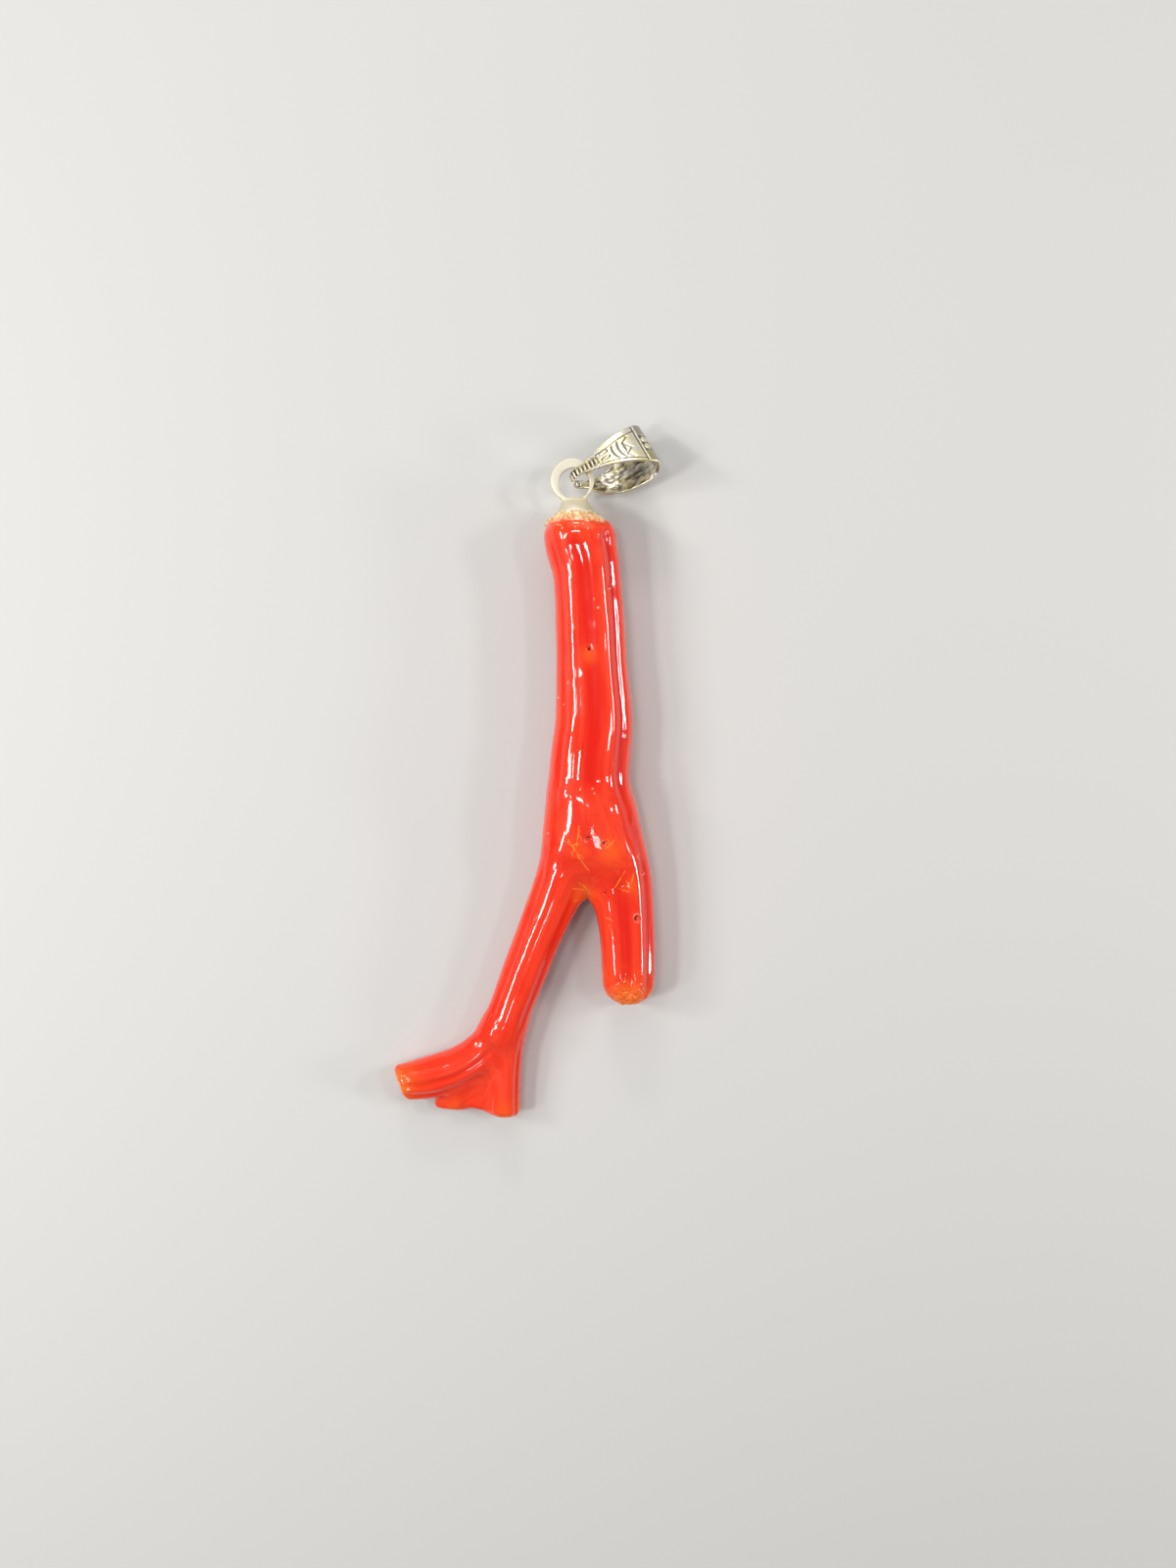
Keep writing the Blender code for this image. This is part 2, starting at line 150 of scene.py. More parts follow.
# %% A finish, and its one way to add a node
class Finish:
    """A material being made, round one Principled shader."""

    def __init__(self, name, constants):
        self.material = bpy.data.materials.new(name)
        self.material.use_nodes = True
        self.tree = self.material.node_tree
        self.shader = self.tree.nodes["Principled BSDF"]
        for socket, value in constants.items():
            self.shader.inputs[socket].default_value = value

    def node(self, kind, settings=None, inputs=None, output=0):
        """Add a node of this kind, with its settings, its sockets' values or links, and one output."""
        made = self.tree.nodes.new(kind)
        for key, value in (settings or {}).items():
            setattr(made, key, value)
        for key, value in (inputs or {}).items():
            self.feed(made.inputs[key], value)
        return Value(self, made.outputs[output])

    def feed(self, socket, value):
        """Link a value to a socket, or set the socket to a number or a colour."""
        if isinstance(value, Value):
            self.tree.links.new(value.socket, socket)
        else:
            socket.default_value = value

    def mix(self, mask, below, above):
        """One colour below and one above where the mask is 1."""
        return self.node("ShaderNodeMix", {"data_type": "RGBA"}, {0: mask, 6: below, 7: above}, 2)

    def mask(self, name):
        """A number that the piece's mesh carries at each point."""
        return self.node("ShaderNodeAttribute", {"attribute_name": name}, output=2)

    def stretched(self, place, scale):
        """Places multiplied by three scales."""
        return self.node("ShaderNodeVectorMath", {"operation": "MULTIPLY"}, {0: place, 1: scale})

    def speckle(self, place, scale, detail=2.0, roughness=0.5):
        """Soft noise from 0 to 1."""
        inputs = {"Vector": place, "Scale": scale, "Detail": detail, "Roughness": roughness}
        return self.node("ShaderNodeTexNoise", {"normalize": True}, inputs)

    def show(self, socket, value):
        """Feed one of the shader's own sockets."""
        self.feed(self.shader.inputs[socket], value)

    def bump(self, height, distance, strength=1.0):
        """Turn a height, in the given distance in metres, into the shader's normal."""
        inputs = {"Height": height, "Distance": distance, "Strength": strength}
        self.show("Normal", self.node("ShaderNodeBump", {}, inputs))


# %% [markdown]
# ## The limbs of the coral
#
# A branch like this could be drawn as skinned curves, but the skin of a fork is always a compromise.
# Here each limb is a formula: how far a point is from a smooth axis with an oval section, less its
# lengthwise grooves. Soft minimum after soft minimum then melts the limbs into one surface, with
# the webbed crotch that a grown branch has. It is the same drawing as the solids', at a finer grain.

# %% The limbs' stations and grooves, in millimetres
# A station: x, y, z of the axis, half the width and half the depth.
TRUNK = (
    (-0.85, 29.75, 3.85, 4.1, 3.7),
    (-0.85, 27.7, 3.85, 4.15, 3.75),
    (-0.65, 26.2, 3.8, 4.05, 3.7),
    (-0.25, 24.4, 3.75, 3.9, 3.65),
    (0.0, 22.0, 3.68, 3.85, 3.65),
    (0.25, 17.6, 3.66, 3.95, 3.65),
    (0.4, 13.2, 3.62, 4.05, 3.67),
    (0.65, 7.15, 3.62, 4.4, 3.8),
    (0.35, 3.85, 3.71, 4.5, 3.89),
    (0.1, 1.1, 3.74, 4.55, 3.91),
    (0.05, -1.3, 3.72, 4.55, 3.87),
    (0.2, -4.2, 3.6, 4.65, 3.75),
    (0.35, -6.8, 3.5, 4.5, 3.5),
    (0.2, -9.45, 3.4, 3.9, 3.0),
)
SHORT_BRANCH = (
    (1.7, -1.1, 3.6, 2.5, 3.2),
    (2.8, -5.5, 3.5, 2.8, 3.2),
    (3.7, -9.9, 3.3, 3.35, 3.15),
    (4.15, -14.1, 3.15, 3.3, 3.1),
    (4.45, -17.6, 3.05, 3.15, 3.05),
    (4.55, -22.0, 2.95, 3.0, 3.0),
    (4.5, -25.0, 2.9, 2.8, 2.85),
)
LONG_BRANCH = (
    (-0.9, -1.1, 3.6, 2.8, 3.2),
    (-1.95, -5.5, 3.5, 2.8, 3.05),
    (-2.85, -9.9, 3.4, 2.9, 2.8),
    (-4.25, -13.85, 3.2, 2.8, 2.6),
    (-5.8, -17.6, 3.0, 2.6, 2.5),
    (-7.45, -22.0, 2.9, 2.55, 2.4),
    (-9.05, -26.0, 2.8, 2.4, 2.35),
    (-10.3, -28.8, 2.5, 2.0, 2.2),
)
TOE = (
    (-9.75, -26.9, 2.5, 1.8, 1.75),
    (-11.8, -30.0, 2.2, 2.2, 1.95),
    (-14.35, -31.9, 2.0, 2.3, 2.05),
    (-17.6, -33.25, 1.85, 2.45, 1.9),
    (-21.5, -34.0, 1.75, 2.05, 1.8),
)
HEEL = (
    (-8.65, -26.4, 2.5, 1.6, 1.75),
    (-9.05, -29.7, 2.15, 1.7, 1.9),
    (-9.3, -33.0, 1.95, 1.7, 2.0),
    (-9.5, -37.7, 1.75, 1.8, 1.8),
)
WEB = (
    (-10.45, -30.25, 1.6, 2.0, 1.3),
    (-11.65, -33.55, 1.3, 2.0, 1.2),
    (-12.3, -37.1, 1.15, 2.0, 1.1),
)
LOBE = (
    (-12.1, -31.9, 1.4, 1.8, 1.3),
    (-14.6, -34.4, 1.15, 2.3, 1.2),
    (-15.75, -37.15, 1.05, 1.95, 1.0),
)
TOE_CUT = (-0.93, -0.37, 0.0)
LOBE_CUT = (-0.1, -1.0, 0.0)

# A groove: its place round the limb in degrees at both ends of the limb (0 is the right side, 90 the
# top), its depth, half its width in degrees, and the part of the limb that it takes.
TRUNK_GROOVES = (
    (46, 38, 0.40, 9, 0.03, 0.97),
    (100, 80, 0.30, 16, 0.05, 0.80),
    (141, 136, 0.16, 9, 0.05, 0.90),
    (205, 200, 0.20, 12, 0.05, 0.90),
    (238, 241, 0.30, 14, 0.08, 0.85),
    (308, 303, 0.28, 14, 0.05, 0.90),
)
SHORT_GROOVES = (
    (92, 97, 0.34, 16, 0.30, 1.10),
    (38, 42, 0.28, 11, 0.10, 1.10),
    (250, 256, 0.25, 15, 0.35, 1.10),
)
LONG_GROOVES = (
    (46, 38, 0.22, 12, 0.25, 1.10),
    (140, 132, 0.14, 10, 0.25, 1.10),
    (262, 270, 0.22, 14, 0.25, 1.10),
)
TOE_GROOVES = ((72, 82, 0.24, 9, 0.15, 1.10), (10, 52, 0.26, 10, 0.35, 1.10))
HEEL_GROOVES = ((44, 40, 0.18, 9, 0.15, 1.10),)


# %% A limb as a formula
FAR = 9.0


def unit(vector):
    """The vector at length one."""
    return vector / np.linalg.norm(vector)


def smooth_path(stations, per_span):
    """Rows on a smooth curve through the stations."""
    stations = np.array(stations, float)
    last = len(stations) - 1
    rows = []
    for i in range(last):
        before, a = stations[max(i - 1, 0)], stations[i]
        b, after = stations[i + 1], stations[min(i + 2, last)]
        for step in range(per_span):
            t = step / per_span
            bend = (2 * before - 5 * a + 4 * b - after) * t**2 + (3 * a - before - 3 * b + after) * t**3
            rows.append(a + 0.5 * ((b - before) * t + bend))
    rows.append(stations[last])
    return np.array(rows)


class Limb:
    """One arm of the coral: a smooth axis with an oval, grooved section and two cut ends."""

    def __init__(self, stations, grooves, edge, fillet, start, cut=None):
        self.path = smooth_path(stations, 4)
        self.grooves = grooves
        self.edge = edge
        self.fillet = fillet
        self.start = start
        places = self.path[:, :3]
        self.length = np.linalg.norm(np.diff(places, axis=0), axis=1).sum()
        self.low = places.min(axis=0) - FAR
        self.high = places.max(axis=0) + FAR
        self.start_cut = unit(places[0] - places[1])
        self.end_cut = unit(places[-1] - places[-2]) if cut is None else unit(np.array(cut))

    def find(self, points):
        """For each point: its place beside and above the axis, the section's halves, the part along."""
        nearest = np.full(len(points), np.inf)
        found = np.zeros((5, len(points)))
        spans = len(self.path) - 1
        for i in range(spans):
            a, b = self.path[i], self.path[i + 1]
            span = b[:3] - a[:3]
            t = np.clip((points - a[:3]) @ span / (span @ span), 0, 1)
            off = points - a[:3] - t[:, None] * span
            gap = np.einsum("ij,ij->i", off, off)
            side = unit(np.cross((0, 0, 1), span))
            up = unit(np.cross(span, side))
            sizes = a[3:, None] + t * (b - a)[3:, None]
            here = np.stack([off @ side, off @ up, sizes[0], sizes[1], (i + t) / spans])
            found = np.where(gap < nearest, here, found)
            nearest = np.minimum(gap, nearest)
        return found

    def measure(self, points):
        """About how far each point is outside the limb, how deep its groove is, and its flow place."""
        near = ((points > self.low) & (points < self.high)).all(axis=1)
        distance = np.full(len(points), FAR)
        carved = np.zeros(len(points))
        flow = np.zeros((len(points), 3))
        distance[near], carved[near], flow[near] = self.measure_near(points[near])
        return distance, carved, flow

    def measure_near(self, points):
        """The same, for points that are not far from the limb."""
        beside, above, wide, deep, along = self.find(points)
        reach = np.hypot(beside, above) + 1e-9
        ratio = np.hypot(beside / wide, above / deep) + 1e-9
        wall = reach - reach / ratio
        angle = np.degrees(np.arctan2(above / deep, beside / wide))
        carved = np.zeros(len(points))
        for first, last, depth, width, start, stop in self.grooves:
            turn = (angle - first - (last - first) * along + 180) % 360 - 180
            fade = np.clip((along - start) / 0.08, 0, 1) * np.clip((stop - along) / 0.08, 0, 1)
            carved += depth * fade * np.exp(-((turn / width) ** 2)) * np.clip(ratio, 0, 1.2)
        across = wall + carved + self.edge
        start_end = (points - self.path[0, :3]) @ self.start_cut
        far_end = (points - self.path[-1, :3]) @ self.end_cut
        beyond = np.maximum(start_end, far_end) + self.edge
        inside = np.minimum(np.maximum(across, beyond), 0)
        distance = inside + np.hypot(np.maximum(across, 0), np.maximum(beyond, 0)) - self.edge
        flow = np.stack([beside, self.start + along * self.length, above], 1)
        return distance, carved, flow


# %% The whole branch
LIMBS = (
    Limb(TRUNK, TRUNK_GROOVES, edge=2.1, fillet=2.2, start=0),
    Limb(LONG_BRANCH, LONG_GROOVES, edge=0.8, fillet=2.2, start=31),
    Limb(SHORT_BRANCH, SHORT_GROOVES, edge=2.5, fillet=3.1, start=31),
    Limb(TOE, TOE_GROOVES, edge=0.6, fillet=1.6, start=59, cut=TOE_CUT),
    Limb(HEEL, HEEL_GROOVES, edge=0.8, fillet=1.6, start=58),
    Limb(WEB, (), edge=0.6, fillet=1.2, start=62),
    Limb(LOBE, (), edge=0.6, fillet=0.8, start=64, cut=LOBE_CUT),
)
print("limbs' lengths, mm:", [round(limb.length, 1) for limb in LIMBS])

# A chip knocked off an edge: a point of its flat, the way the flat faces, and how far it reaches.
CHIPS = (
    ((1.38, 28.9, 6.14), (0.45, 0.68, 0.58), 1.9),
    ((3.1, -24.75, 4.6), (-0.45, -0.80, 0.40), 1.6),
    ((5.8, -24.55, 4.7), (0.55, -0.75, 0.36), 1.5),
)
CHIP_SOFTNESS = 0.12


def branch_distance(points, chips=CHIPS):
    """The distance to the whole branch, less its chips."""
    total = LIMBS[0].measure(points)[0]
    for limb in LIMBS[1:]:
        one = limb.measure(points)[0]
        mix = np.clip(0.5 + 0.5 * (one - total) / limb.fillet, 0, 1)
        total = one + (total - one) * mix - limb.fillet * mix * (1 - mix)
    for place, way, reach in chips:
        off = points - np.array(place)
        flat = np.minimum(off @ unit(np.array(way)), reach - np.linalg.norm(off, axis=1))
        mix = np.clip(0.5 + 0.5 * (flat - total) / CHIP_SOFTNESS, 0, 1)
        total = total + (flat - total) * mix + CHIP_SOFTNESS * mix * (1 - mix)
    return total


def settle(points, rounds, chips=CHIPS):
    """Move points along the field's slope onto the branch. Gives them and the way out of it."""
    step = 0.02
    for _ in range(rounds):
        here = branch_distance(points, chips)
        slope = np.empty_like(points)
        for axis in range(3):
            ahead = points.copy()
            ahead[:, axis] += step
            slope[:, axis] = (branch_distance(ahead, chips) - here) / step
        steep = np.einsum("ij,ij->i", slope, slope)
        move = slope * (here / np.maximum(steep, 0.25))[:, None]
        far = np.linalg.norm(move, axis=1) + 1e-9
        points = points - move * np.minimum(1, 0.5 / far)[:, None]
    return points, slope / np.sqrt(np.maximum(steep, 1e-9))[:, None]


# %% [markdown]
# ## Faces for the formula
#
# The formula has no faces yet. Marching over a grid would give uneven ones. Blender's voxel remesh
# of a rough stack of tubes gives even four-sided faces all over, and each point then walks down the
# formula's slope onto the true surface. The faces are made finer where small marks will be cut.

# %% The branch's mesh
FACE_SIZE = 0.205
TUBE_SIDES = 20


def rough_tubes():
    """Every limb as a plain closed tube, one inside another."""
    mesh = bmesh.new()
    for limb in LIMBS:
        rings = []
        for i, row in enumerate(limb.path):
            ahead = limb.path[min(i + 1, len(limb.path) - 1), :3] - limb.path[max(i - 1, 0), :3]
            side = unit(np.cross((0, 0, 1), ahead))
            up = unit(np.cross(ahead, side))
            ring = []
            for k in range(TUBE_SIDES):
                turn = math.tau * k / TUBE_SIDES
                place = row[:3] + side * row[3] * math.cos(turn) + up * row[4] * math.sin(turn)
                ring.append(mesh.verts.new(place))
            rings.append(ring)
        skin(mesh, rings)
    return mesh


def skin(mesh, rings, closed=False):
    """Join rings of vertices with faces, and close the two ends unless the rings make a loop."""
    count = len(rings[0])
    pairs = list(zip(rings, rings[1:]))
    if closed:
        pairs.append((rings[-1], rings[0]))
    for a, b in pairs:
        for k in range(count):
            mesh.faces.new((a[k], a[(k + 1) % count], b[(k + 1) % count], b[k]))
    if not closed:
        mesh.faces.new(rings[0][::-1])
        mesh.faces.new(rings[-1])
    bmesh.ops.recalc_face_normals(mesh, faces=mesh.faces)


def even_skin(mesh, size):
    """A bmesh turned into one closed skin of even faces; the bmesh is used up."""
    data = to_data(mesh, "rough")
    rough = new_object("rough", data)
    remesh = rough.modifiers.new("even_faces", "REMESH")
    remesh.mode = "VOXEL"
    remesh.voxel_size = size
    finished = rough.evaluated_get(bpy.context.evaluated_depsgraph_get())
    even = bpy.data.meshes.new_from_object(finished)
    bpy.data.objects.remove(rough)
    bpy.data.meshes.remove(data)
    return even


def places_of(mesh):
    """The mesh's points as rows of x, y, z."""
    flat = np.empty(len(mesh.vertices) * 3)
    mesh.vertices.foreach_get("co", flat)
    return flat.reshape(-1, 3)


def place_all(mesh, points):
    """Put the mesh's points at these rows."""
    mesh.vertices.foreach_set("co", points.ravel())
    mesh.update()


coral_mesh = even_skin(rough_tubes(), FACE_SIZE)
place_all(coral_mesh, settle(places_of(coral_mesh), 3, chips=())[0])
print("the branch has", len(coral_mesh.polygons), "faces")

# %% [markdown]
# ## Marks on the branch
#
# Red coral has tiny pits where its polyps sat, orange veins, pale dots, and chips at its sawn ends.
# Painted marks would stay flat in the light, so the pits, dots and chips are shapes of the mesh, and
# each leaves a mask on its points that the material reads for colour. The pits' mask darkens their
# hollows as painted shade. The veins lie under the polish and are not felt, so they are colour only.

# %% Pits, dots and veins, in millimetres of the drawing
# A pit: x, y, its radius, its depth, and how strongly its rim is raised and pale.
PITS = (
    (0.11, 14.83, 0.20, 0.32, 0.1),
    (2.30, 21.76, 0.20, 0.12, 0.8),
    (-2.04, 11.07, 0.18, 0.10, 0.8),
    (0.055, -5.95, 0.20, 0.28, 0.3),
    (1.75, -6.45, 0.20, 0.28, 0.7),
    (3.17, -9.47, 0.10, 0.18, 0.0),
    (1.85, -12.03, 0.12, 0.16, 0.1),
    (5.42, -14.83, 0.31, 0.34, 0.8),
    (6.04, -9.85, 0.17, 0.06, 0.8),
)
# A pale dot: x, y, its radius.
DOTS = (
    (1.18, 19.35, 0.13),
    (0.65, 20.4, 0.10),
    (-0.84, -0.54, 0.15),
    (0.50, -0.52, 0.11),
    (0.70, -1.03, 0.10),
    (1.23, 0.31, 0.15),
    (-4.43, -5.45, 0.12),
    (4.41, -11.28, 0.14),
    (-3.3, 9.6, 0.14),
    (-2.7, 8.8, 0.10),
)
# A hair of orange in the red: its points in plan, and half its width.
VEINS = (
    (((-3.14, -5.95), (-2.44, -6.32), (-1.64, -6.9), (-1.16, -7.7), (-0.99, -8.25)), 0.065),
    (((-2.24, -6.05), (-1.96, -6.55), (-1.62, -6.93)), 0.06),
    (((-1.75, -6.8), (-1.3, -6.55), (-0.95, -6.6)), 0.05),
    (((-1.5, -7.15), (-1.75, -7.6), (-1.7, -8.0)), 0.05),
    (((-1.1, -7.75), (-0.7, -7.9), (-0.45, -8.25)), 0.05),
    (((-0.99, -4.56), (-1.04, -5.3), (-1.18, -6.15), (-1.24, -6.8)), 0.06),
    (((-1.08, -5.5), (-0.8, -5.85), (-0.72, -6.2)), 0.05),
    (((-1.16, -7.6), (-0.94, -8.1), (-0.46, -8.89), (0.05, -9.51)), 0.055),
    (((2.87, -6.18), (2.63, -6.48), (2.37, -6.72), (1.95, -7.05)), 0.06),
    (((2.1, -6.0), (2.35, -6.4), (2.4, -6.7)), 0.05),
    (((4.1, -9.59), (3.54, -10.54), (3.03, -11.41)), 0.06),
    (((5.12, -9.81), (4.89, -10.59), (4.62, -11.34)), 0.06),
    (((3.3, -11.47), (3.89, -11.74), (4.54, -11.91)), 0.05),
    (((-0.96, -11.01), (-0.34, -11.51), (0.33, -12.26)), 0.07),
    (((4.2, -10.7), (4.55, -11.2), (4.6, -11.6)), 0.05),
    (((1.9, -14.9), (2.4, -14.95), (2.75, -15.15)), 0.05),
    (((2.2, -15.6), (2.6, -16.3), (2.75, -17.1)), 0.05),
    (((-0.54, -11.24), (-0.1, -11.79), (0.05, -12.33)), 0.07),
    (((-1.64, -11.67), (-0.94, -11.65), (-0.34, -11.89)), 0.06),
    (((-1.54, -13.06), (-1.14, -13.0), (-0.74, -12.93)), 0.05),
    (((5.72, -8.35), (5.54, -8.0), (5.74, -7.7)), 0.05),
)
# An orange cloud in the coral: x, y, its radius, and its strength.
CLOUDS = (
    (0.1, 14.2, 0.9, 0.75),
    (2.6, -7.5, 1.5, 0.7),
    (-1.1, -7.2, 1.0, 0.45),
    (-0.4, -12.3, 1.25, 1.0),
    (4.9, -11.3, 1.1, 0.6),
    (4.6, -25.0, 3.0, 1.0),
    (-21.2, -33.9, 2.2, 1.0),
    (-9.3, -37.9, 1.9, 0.8),
    (-15.4, -37.3, 1.5, 0.8),
    (-0.9, 30.6, 2.4, 0.8),
)
# A patch where the polish is worn to a grain: x, y, and its half width and half length.
WORN = (
    (-1.5, 16.0, 0.9, 5.5),
    (-1.3, 4.2, 1.0, 3.2),
    (0.3, -5.3, 1.2, 2.6),
    (-2.3, -9.0, 0.8, 1.8),
    (2.6, -11.5, 0.7, 2.6),
)
FINE_REACH = 0.5
# A sawn, broken end: a point near it, and how far the breakage reaches.
SAWN_ENDS = (
    ((4.55, -25.2, 4.6), 4.2),
    ((-1.0, 30.2, 4.6), 2.6),
    ((-22.1, -34.1, 2.7), 2.5),
)


def plan_distance(points, x, y):
    """How far points are from one place, seen from above."""
    return np.hypot(points[:, 0] - x, points[:, 1] - y)


def line_distance(points, line):
    """How far points are from a bent line, seen from above."""
    nearest = np.full(len(points), np.inf)
    for a, b in zip(np.array(line), np.array(line)[1:]):
        span = b - a
        t = np.clip((points[:, :2] - a) @ span / (span @ span), 0, 1)
        nearest = np.minimum(nearest, np.linalg.norm(points[:, :2] - a - t[:, None] * span, axis=1))
    return nearest


def near_marks(points):
    """True where a point is on the upper side and close to a mark, a chip or a sawn end."""
    near = np.zeros(len(points), bool)
    for x, y, radius, *_ in PITS + DOTS:
        near |= plan_distance(points, x, y) < radius + FINE_REACH
    for line, half in VEINS:
        near |= line_distance(points, line) < half + FINE_REACH / 3
    for place, _, reach in CHIPS:
        near |= np.linalg.norm(points - np.array(place), axis=1) < reach
    for place, reach in SAWN_ENDS:
        near |= np.linalg.norm(points - np.array(place), axis=1) < reach
    return near & (points[:, 2] > 2.5)


def refine(mesh):
    """Cut the faces near the marks in nine."""
    near = near_marks(places_of(mesh))
    fine = bmesh.new()
    fine.from_mesh(mesh)
    fine.verts.ensure_lookup_table()
    edges = [edge for edge in fine.edges if near[edge.verts[0].index] and near[edge.verts[1].index]]
    bmesh.ops.subdivide_edges(fine, edges=edges, cuts=2, use_grid_fill=True)
    fine.to_mesh(mesh)
    fine.free()


refine(coral_mesh)
coral_points, coral_out = settle(places_of(coral_mesh), 3)
print("after refining:", len(coral_mesh.polygons), "faces")

# %% [markdown]
# ## Relief along the growth
#
# Under the polish, the coral keeps fine ridges that run with each limb and turn with it at a fork.
# Noise in world axes would cut across them. Each point therefore gets a flow place: how far it is
# beside, along and above its limb's axis, with the limbs' values blended where they meet. Noise
# drawn out along the flow gives the ridges, here as true relief and later as the finest bump.

# %% The flow, the grooves and the ridges
BLEND_REACH = 0.7
RIDGE_HEIGHTS = (0.035, 0.014)
WAVE_HEIGHTS = (0.045, 0.012)
RELIEF_SINK = 0.04


def flow_and_grooves(points):
    """The blended flow place of each point, in millimetres, and how deep a groove it lies in."""
    flow = np.zeros_like(points)
    carved = np.zeros(len(points))
    total = np.zeros(len(points))
    for limb in LIMBS:
        distance, groove, place = limb.measure(points)
        weight = np.exp(-np.clip(distance, -3, 12) / BLEND_REACH)
        flow += weight[:, None] * place
        carved += weight * groove
        total += weight
    return flow / total[:, None], carved / total


def lumps(places, size, shift=0.0):
    """Soft noise from -1 to 1, with lumps of three sizes along the three axes."""
    return np.array([noise.noise(place) for place in (places / size + shift).tolist()])


def bell(distance, width):
    """1 at no distance, and falling softly to 0 past the width."""
    return np.exp(-((distance / width) ** 2))


flow, carved = flow_and_grooves(coral_points)
ridges = RIDGE_HEIGHTS[0] * lumps(flow, (1.0, 11.0, 1.0))
ridges += RIDGE_HEIGHTS[1] * lumps(flow, (0.42, 9.0, 0.42), 31.7)
waves = WAVE_HEIGHTS[0] * lumps(coral_points, (3.1, 4.2, 3.1), 5.3)
waves += WAVE_HEIGHTS[1] * lumps(coral_points, (1.1, 1.5, 1.1), 9.1)
relief = ridges + waves - RELIEF_SINK
upper = np.clip(coral_out[:, 2] * 4, 0, 1)
print("ridges up to", round(float(np.abs(ridges).max()), 3), "mm")

# %% Cut the marks, and keep their masks
PIT_RIM_HEIGHT = 0.04
DOT_HEIGHT = 0.03
VEIN_WANDER = 0.05
pit_shade_mask, pale_mask, vein_mask, orange_mask, worn_mask = np.zeros((5, len(coral_points)))
uneven = 1 + 0.25 * lumps(coral_points, (0.3, 0.3, 0.3), 6.1)
for x, y, radius, depth, rim in PITS:
    away = plan_distance(coral_points, x, y) * uneven
    bearing = np.arctan2(coral_points[:, 1] - y, coral_points[:, 0] - x)
    crescent = np.clip(0.2 + 0.9 * np.cos(bearing - 5 * x), 0, 1)
    crescent *= bell(away - radius * 1.4, radius * 0.35)
    relief -= upper * depth * bell(away, radius * 0.95)
    relief += upper * rim * PIT_RIM_HEIGHT * crescent
    # Painted shade: the pit's hollow is coloured dark, more so where the pit is deeper.
    pit_shade_mask = np.maximum(pit_shade_mask, upper * min(1, 5 * depth) * bell(away, radius))
    pale_mask = np.maximum(pale_mask, upper * rim * crescent)
for x, y, radius in DOTS:
    away = plan_distance(coral_points, x, y) * uneven
    relief += upper * DOT_HEIGHT * bell(away, radius)
    pale_mask = np.maximum(pale_mask, upper * 0.9 * bell(away, radius))
hairy = VEIN_WANDER * lumps(coral_points, (0.5, 0.5, 0.5), 2.2)
fading = np.clip(0.9 + 0.5 * lumps(coral_points, (0.6, 0.6, 0.6), 8.8), 0.3, 1)
for line, half in VEINS:
    away = line_distance(coral_points, line) + hairy
    vein_mask = np.maximum(vein_mask, upper * fading * bell(away, half))
for x, y, radius, strength in CLOUDS:
    away = plan_distance(coral_points, x, y) * (1 + 0.35 * lumps(coral_points, (0.9, 0.9, 0.9), 3.3))
    orange_mask = np.maximum(orange_mask, strength * bell(away, radius))
for x, y, half_width, half_length in WORN:
    away = np.hypot((coral_points[:, 0] - x) / half_width, (coral_points[:, 1] - y) / half_length)
    worn_mask = np.maximum(worn_mask, upper * bell(away, 1.0))
print("marked points:", int((pit_shade_mask > 0.5).sum()), "in pits,", int((pale_mask > 0.4).sum()), "pale")

# %% Break the sawn ends
FACET_SIZE = 1.05
FACET_SHAKE = 0.4
FACET_DEPTH = 0.32
CRACK_DEPTH = 0.10
CRACK_WIDTH = 0.07
chipped, cells, cracks = np.zeros((3, len(coral_points)))
for place, reach in SAWN_ENDS:
    away = np.linalg.norm(coral_points - np.array(place), axis=1)
    chipped = np.maximum(chipped, np.clip(1.6 - 1.6 * away / reach, 0, 1))
broken = np.flatnonzero(chipped > 0)
shake = [lumps(coral_points[broken], (0.7, 0.7, 0.7), shift) for shift in (3.7, 11.9, 23.1)]
shaken = coral_points[broken] / FACET_SIZE + FACET_SHAKE * np.stack(shake, 1)
for i, place in zip(broken, shaken.tolist()):
    nearest, _ = noise.voronoi(place)
    cells[i] = nearest[0]
    cracks[i] = bell(nearest[1] - nearest[0], CRACK_WIDTH)
relief -= chipped * (FACET_DEPTH * cells + CRACK_DEPTH * cracks)
chip_mask = chipped * np.clip(0.55 + cells, 0, 1)
crack_mask = np.clip(1.5 * chipped, 0, 1) * cracks
coral_points = coral_points + coral_out * relief[:, None]
low, high = (np.array(corner) / MM - PLACE for corner in SOLIDS_BOX)
coral_points = np.clip(coral_points, low + (0.01, 0.01, 0), high - 0.01)
place_all(coral_mesh, coral_points)
print("points at the broken ends:", len(broken))

# %% [markdown]
# ## From a mesh to a piece
#
# A finished piece sits at the frame's origin, unturned and unscaled, with its place in its mesh,
# as the solids do. One helper scales the drawing to metres and moves it there.

# %% The helper that places every piece
def keep(mesh, name, values):
    """Store one number, or one vector, for each point of the mesh."""
    kind = "FLOAT" if values.ndim == 1 else "FLOAT_VECTOR"
    layer = mesh.attributes.new(name, kind, "POINT")
    layer.data.foreach_set("value" if values.ndim == 1 else "vector", values.astype(np.float32).ravel())


def piece(name, mesh, finish):
    """An object of a mesh drawn in millimetres, placed in the frame."""
    mesh.transform(Matrix.Translation(PLACE * MM) @ Matrix.Scale(MM, 4))
    mesh.shade_smooth()
    mesh.name = name
    mesh.materials.clear()
    mesh.materials.append(finish)
    made = new_object(name, mesh)
    print(name, "has", len(mesh.polygons), "faces")
    return made
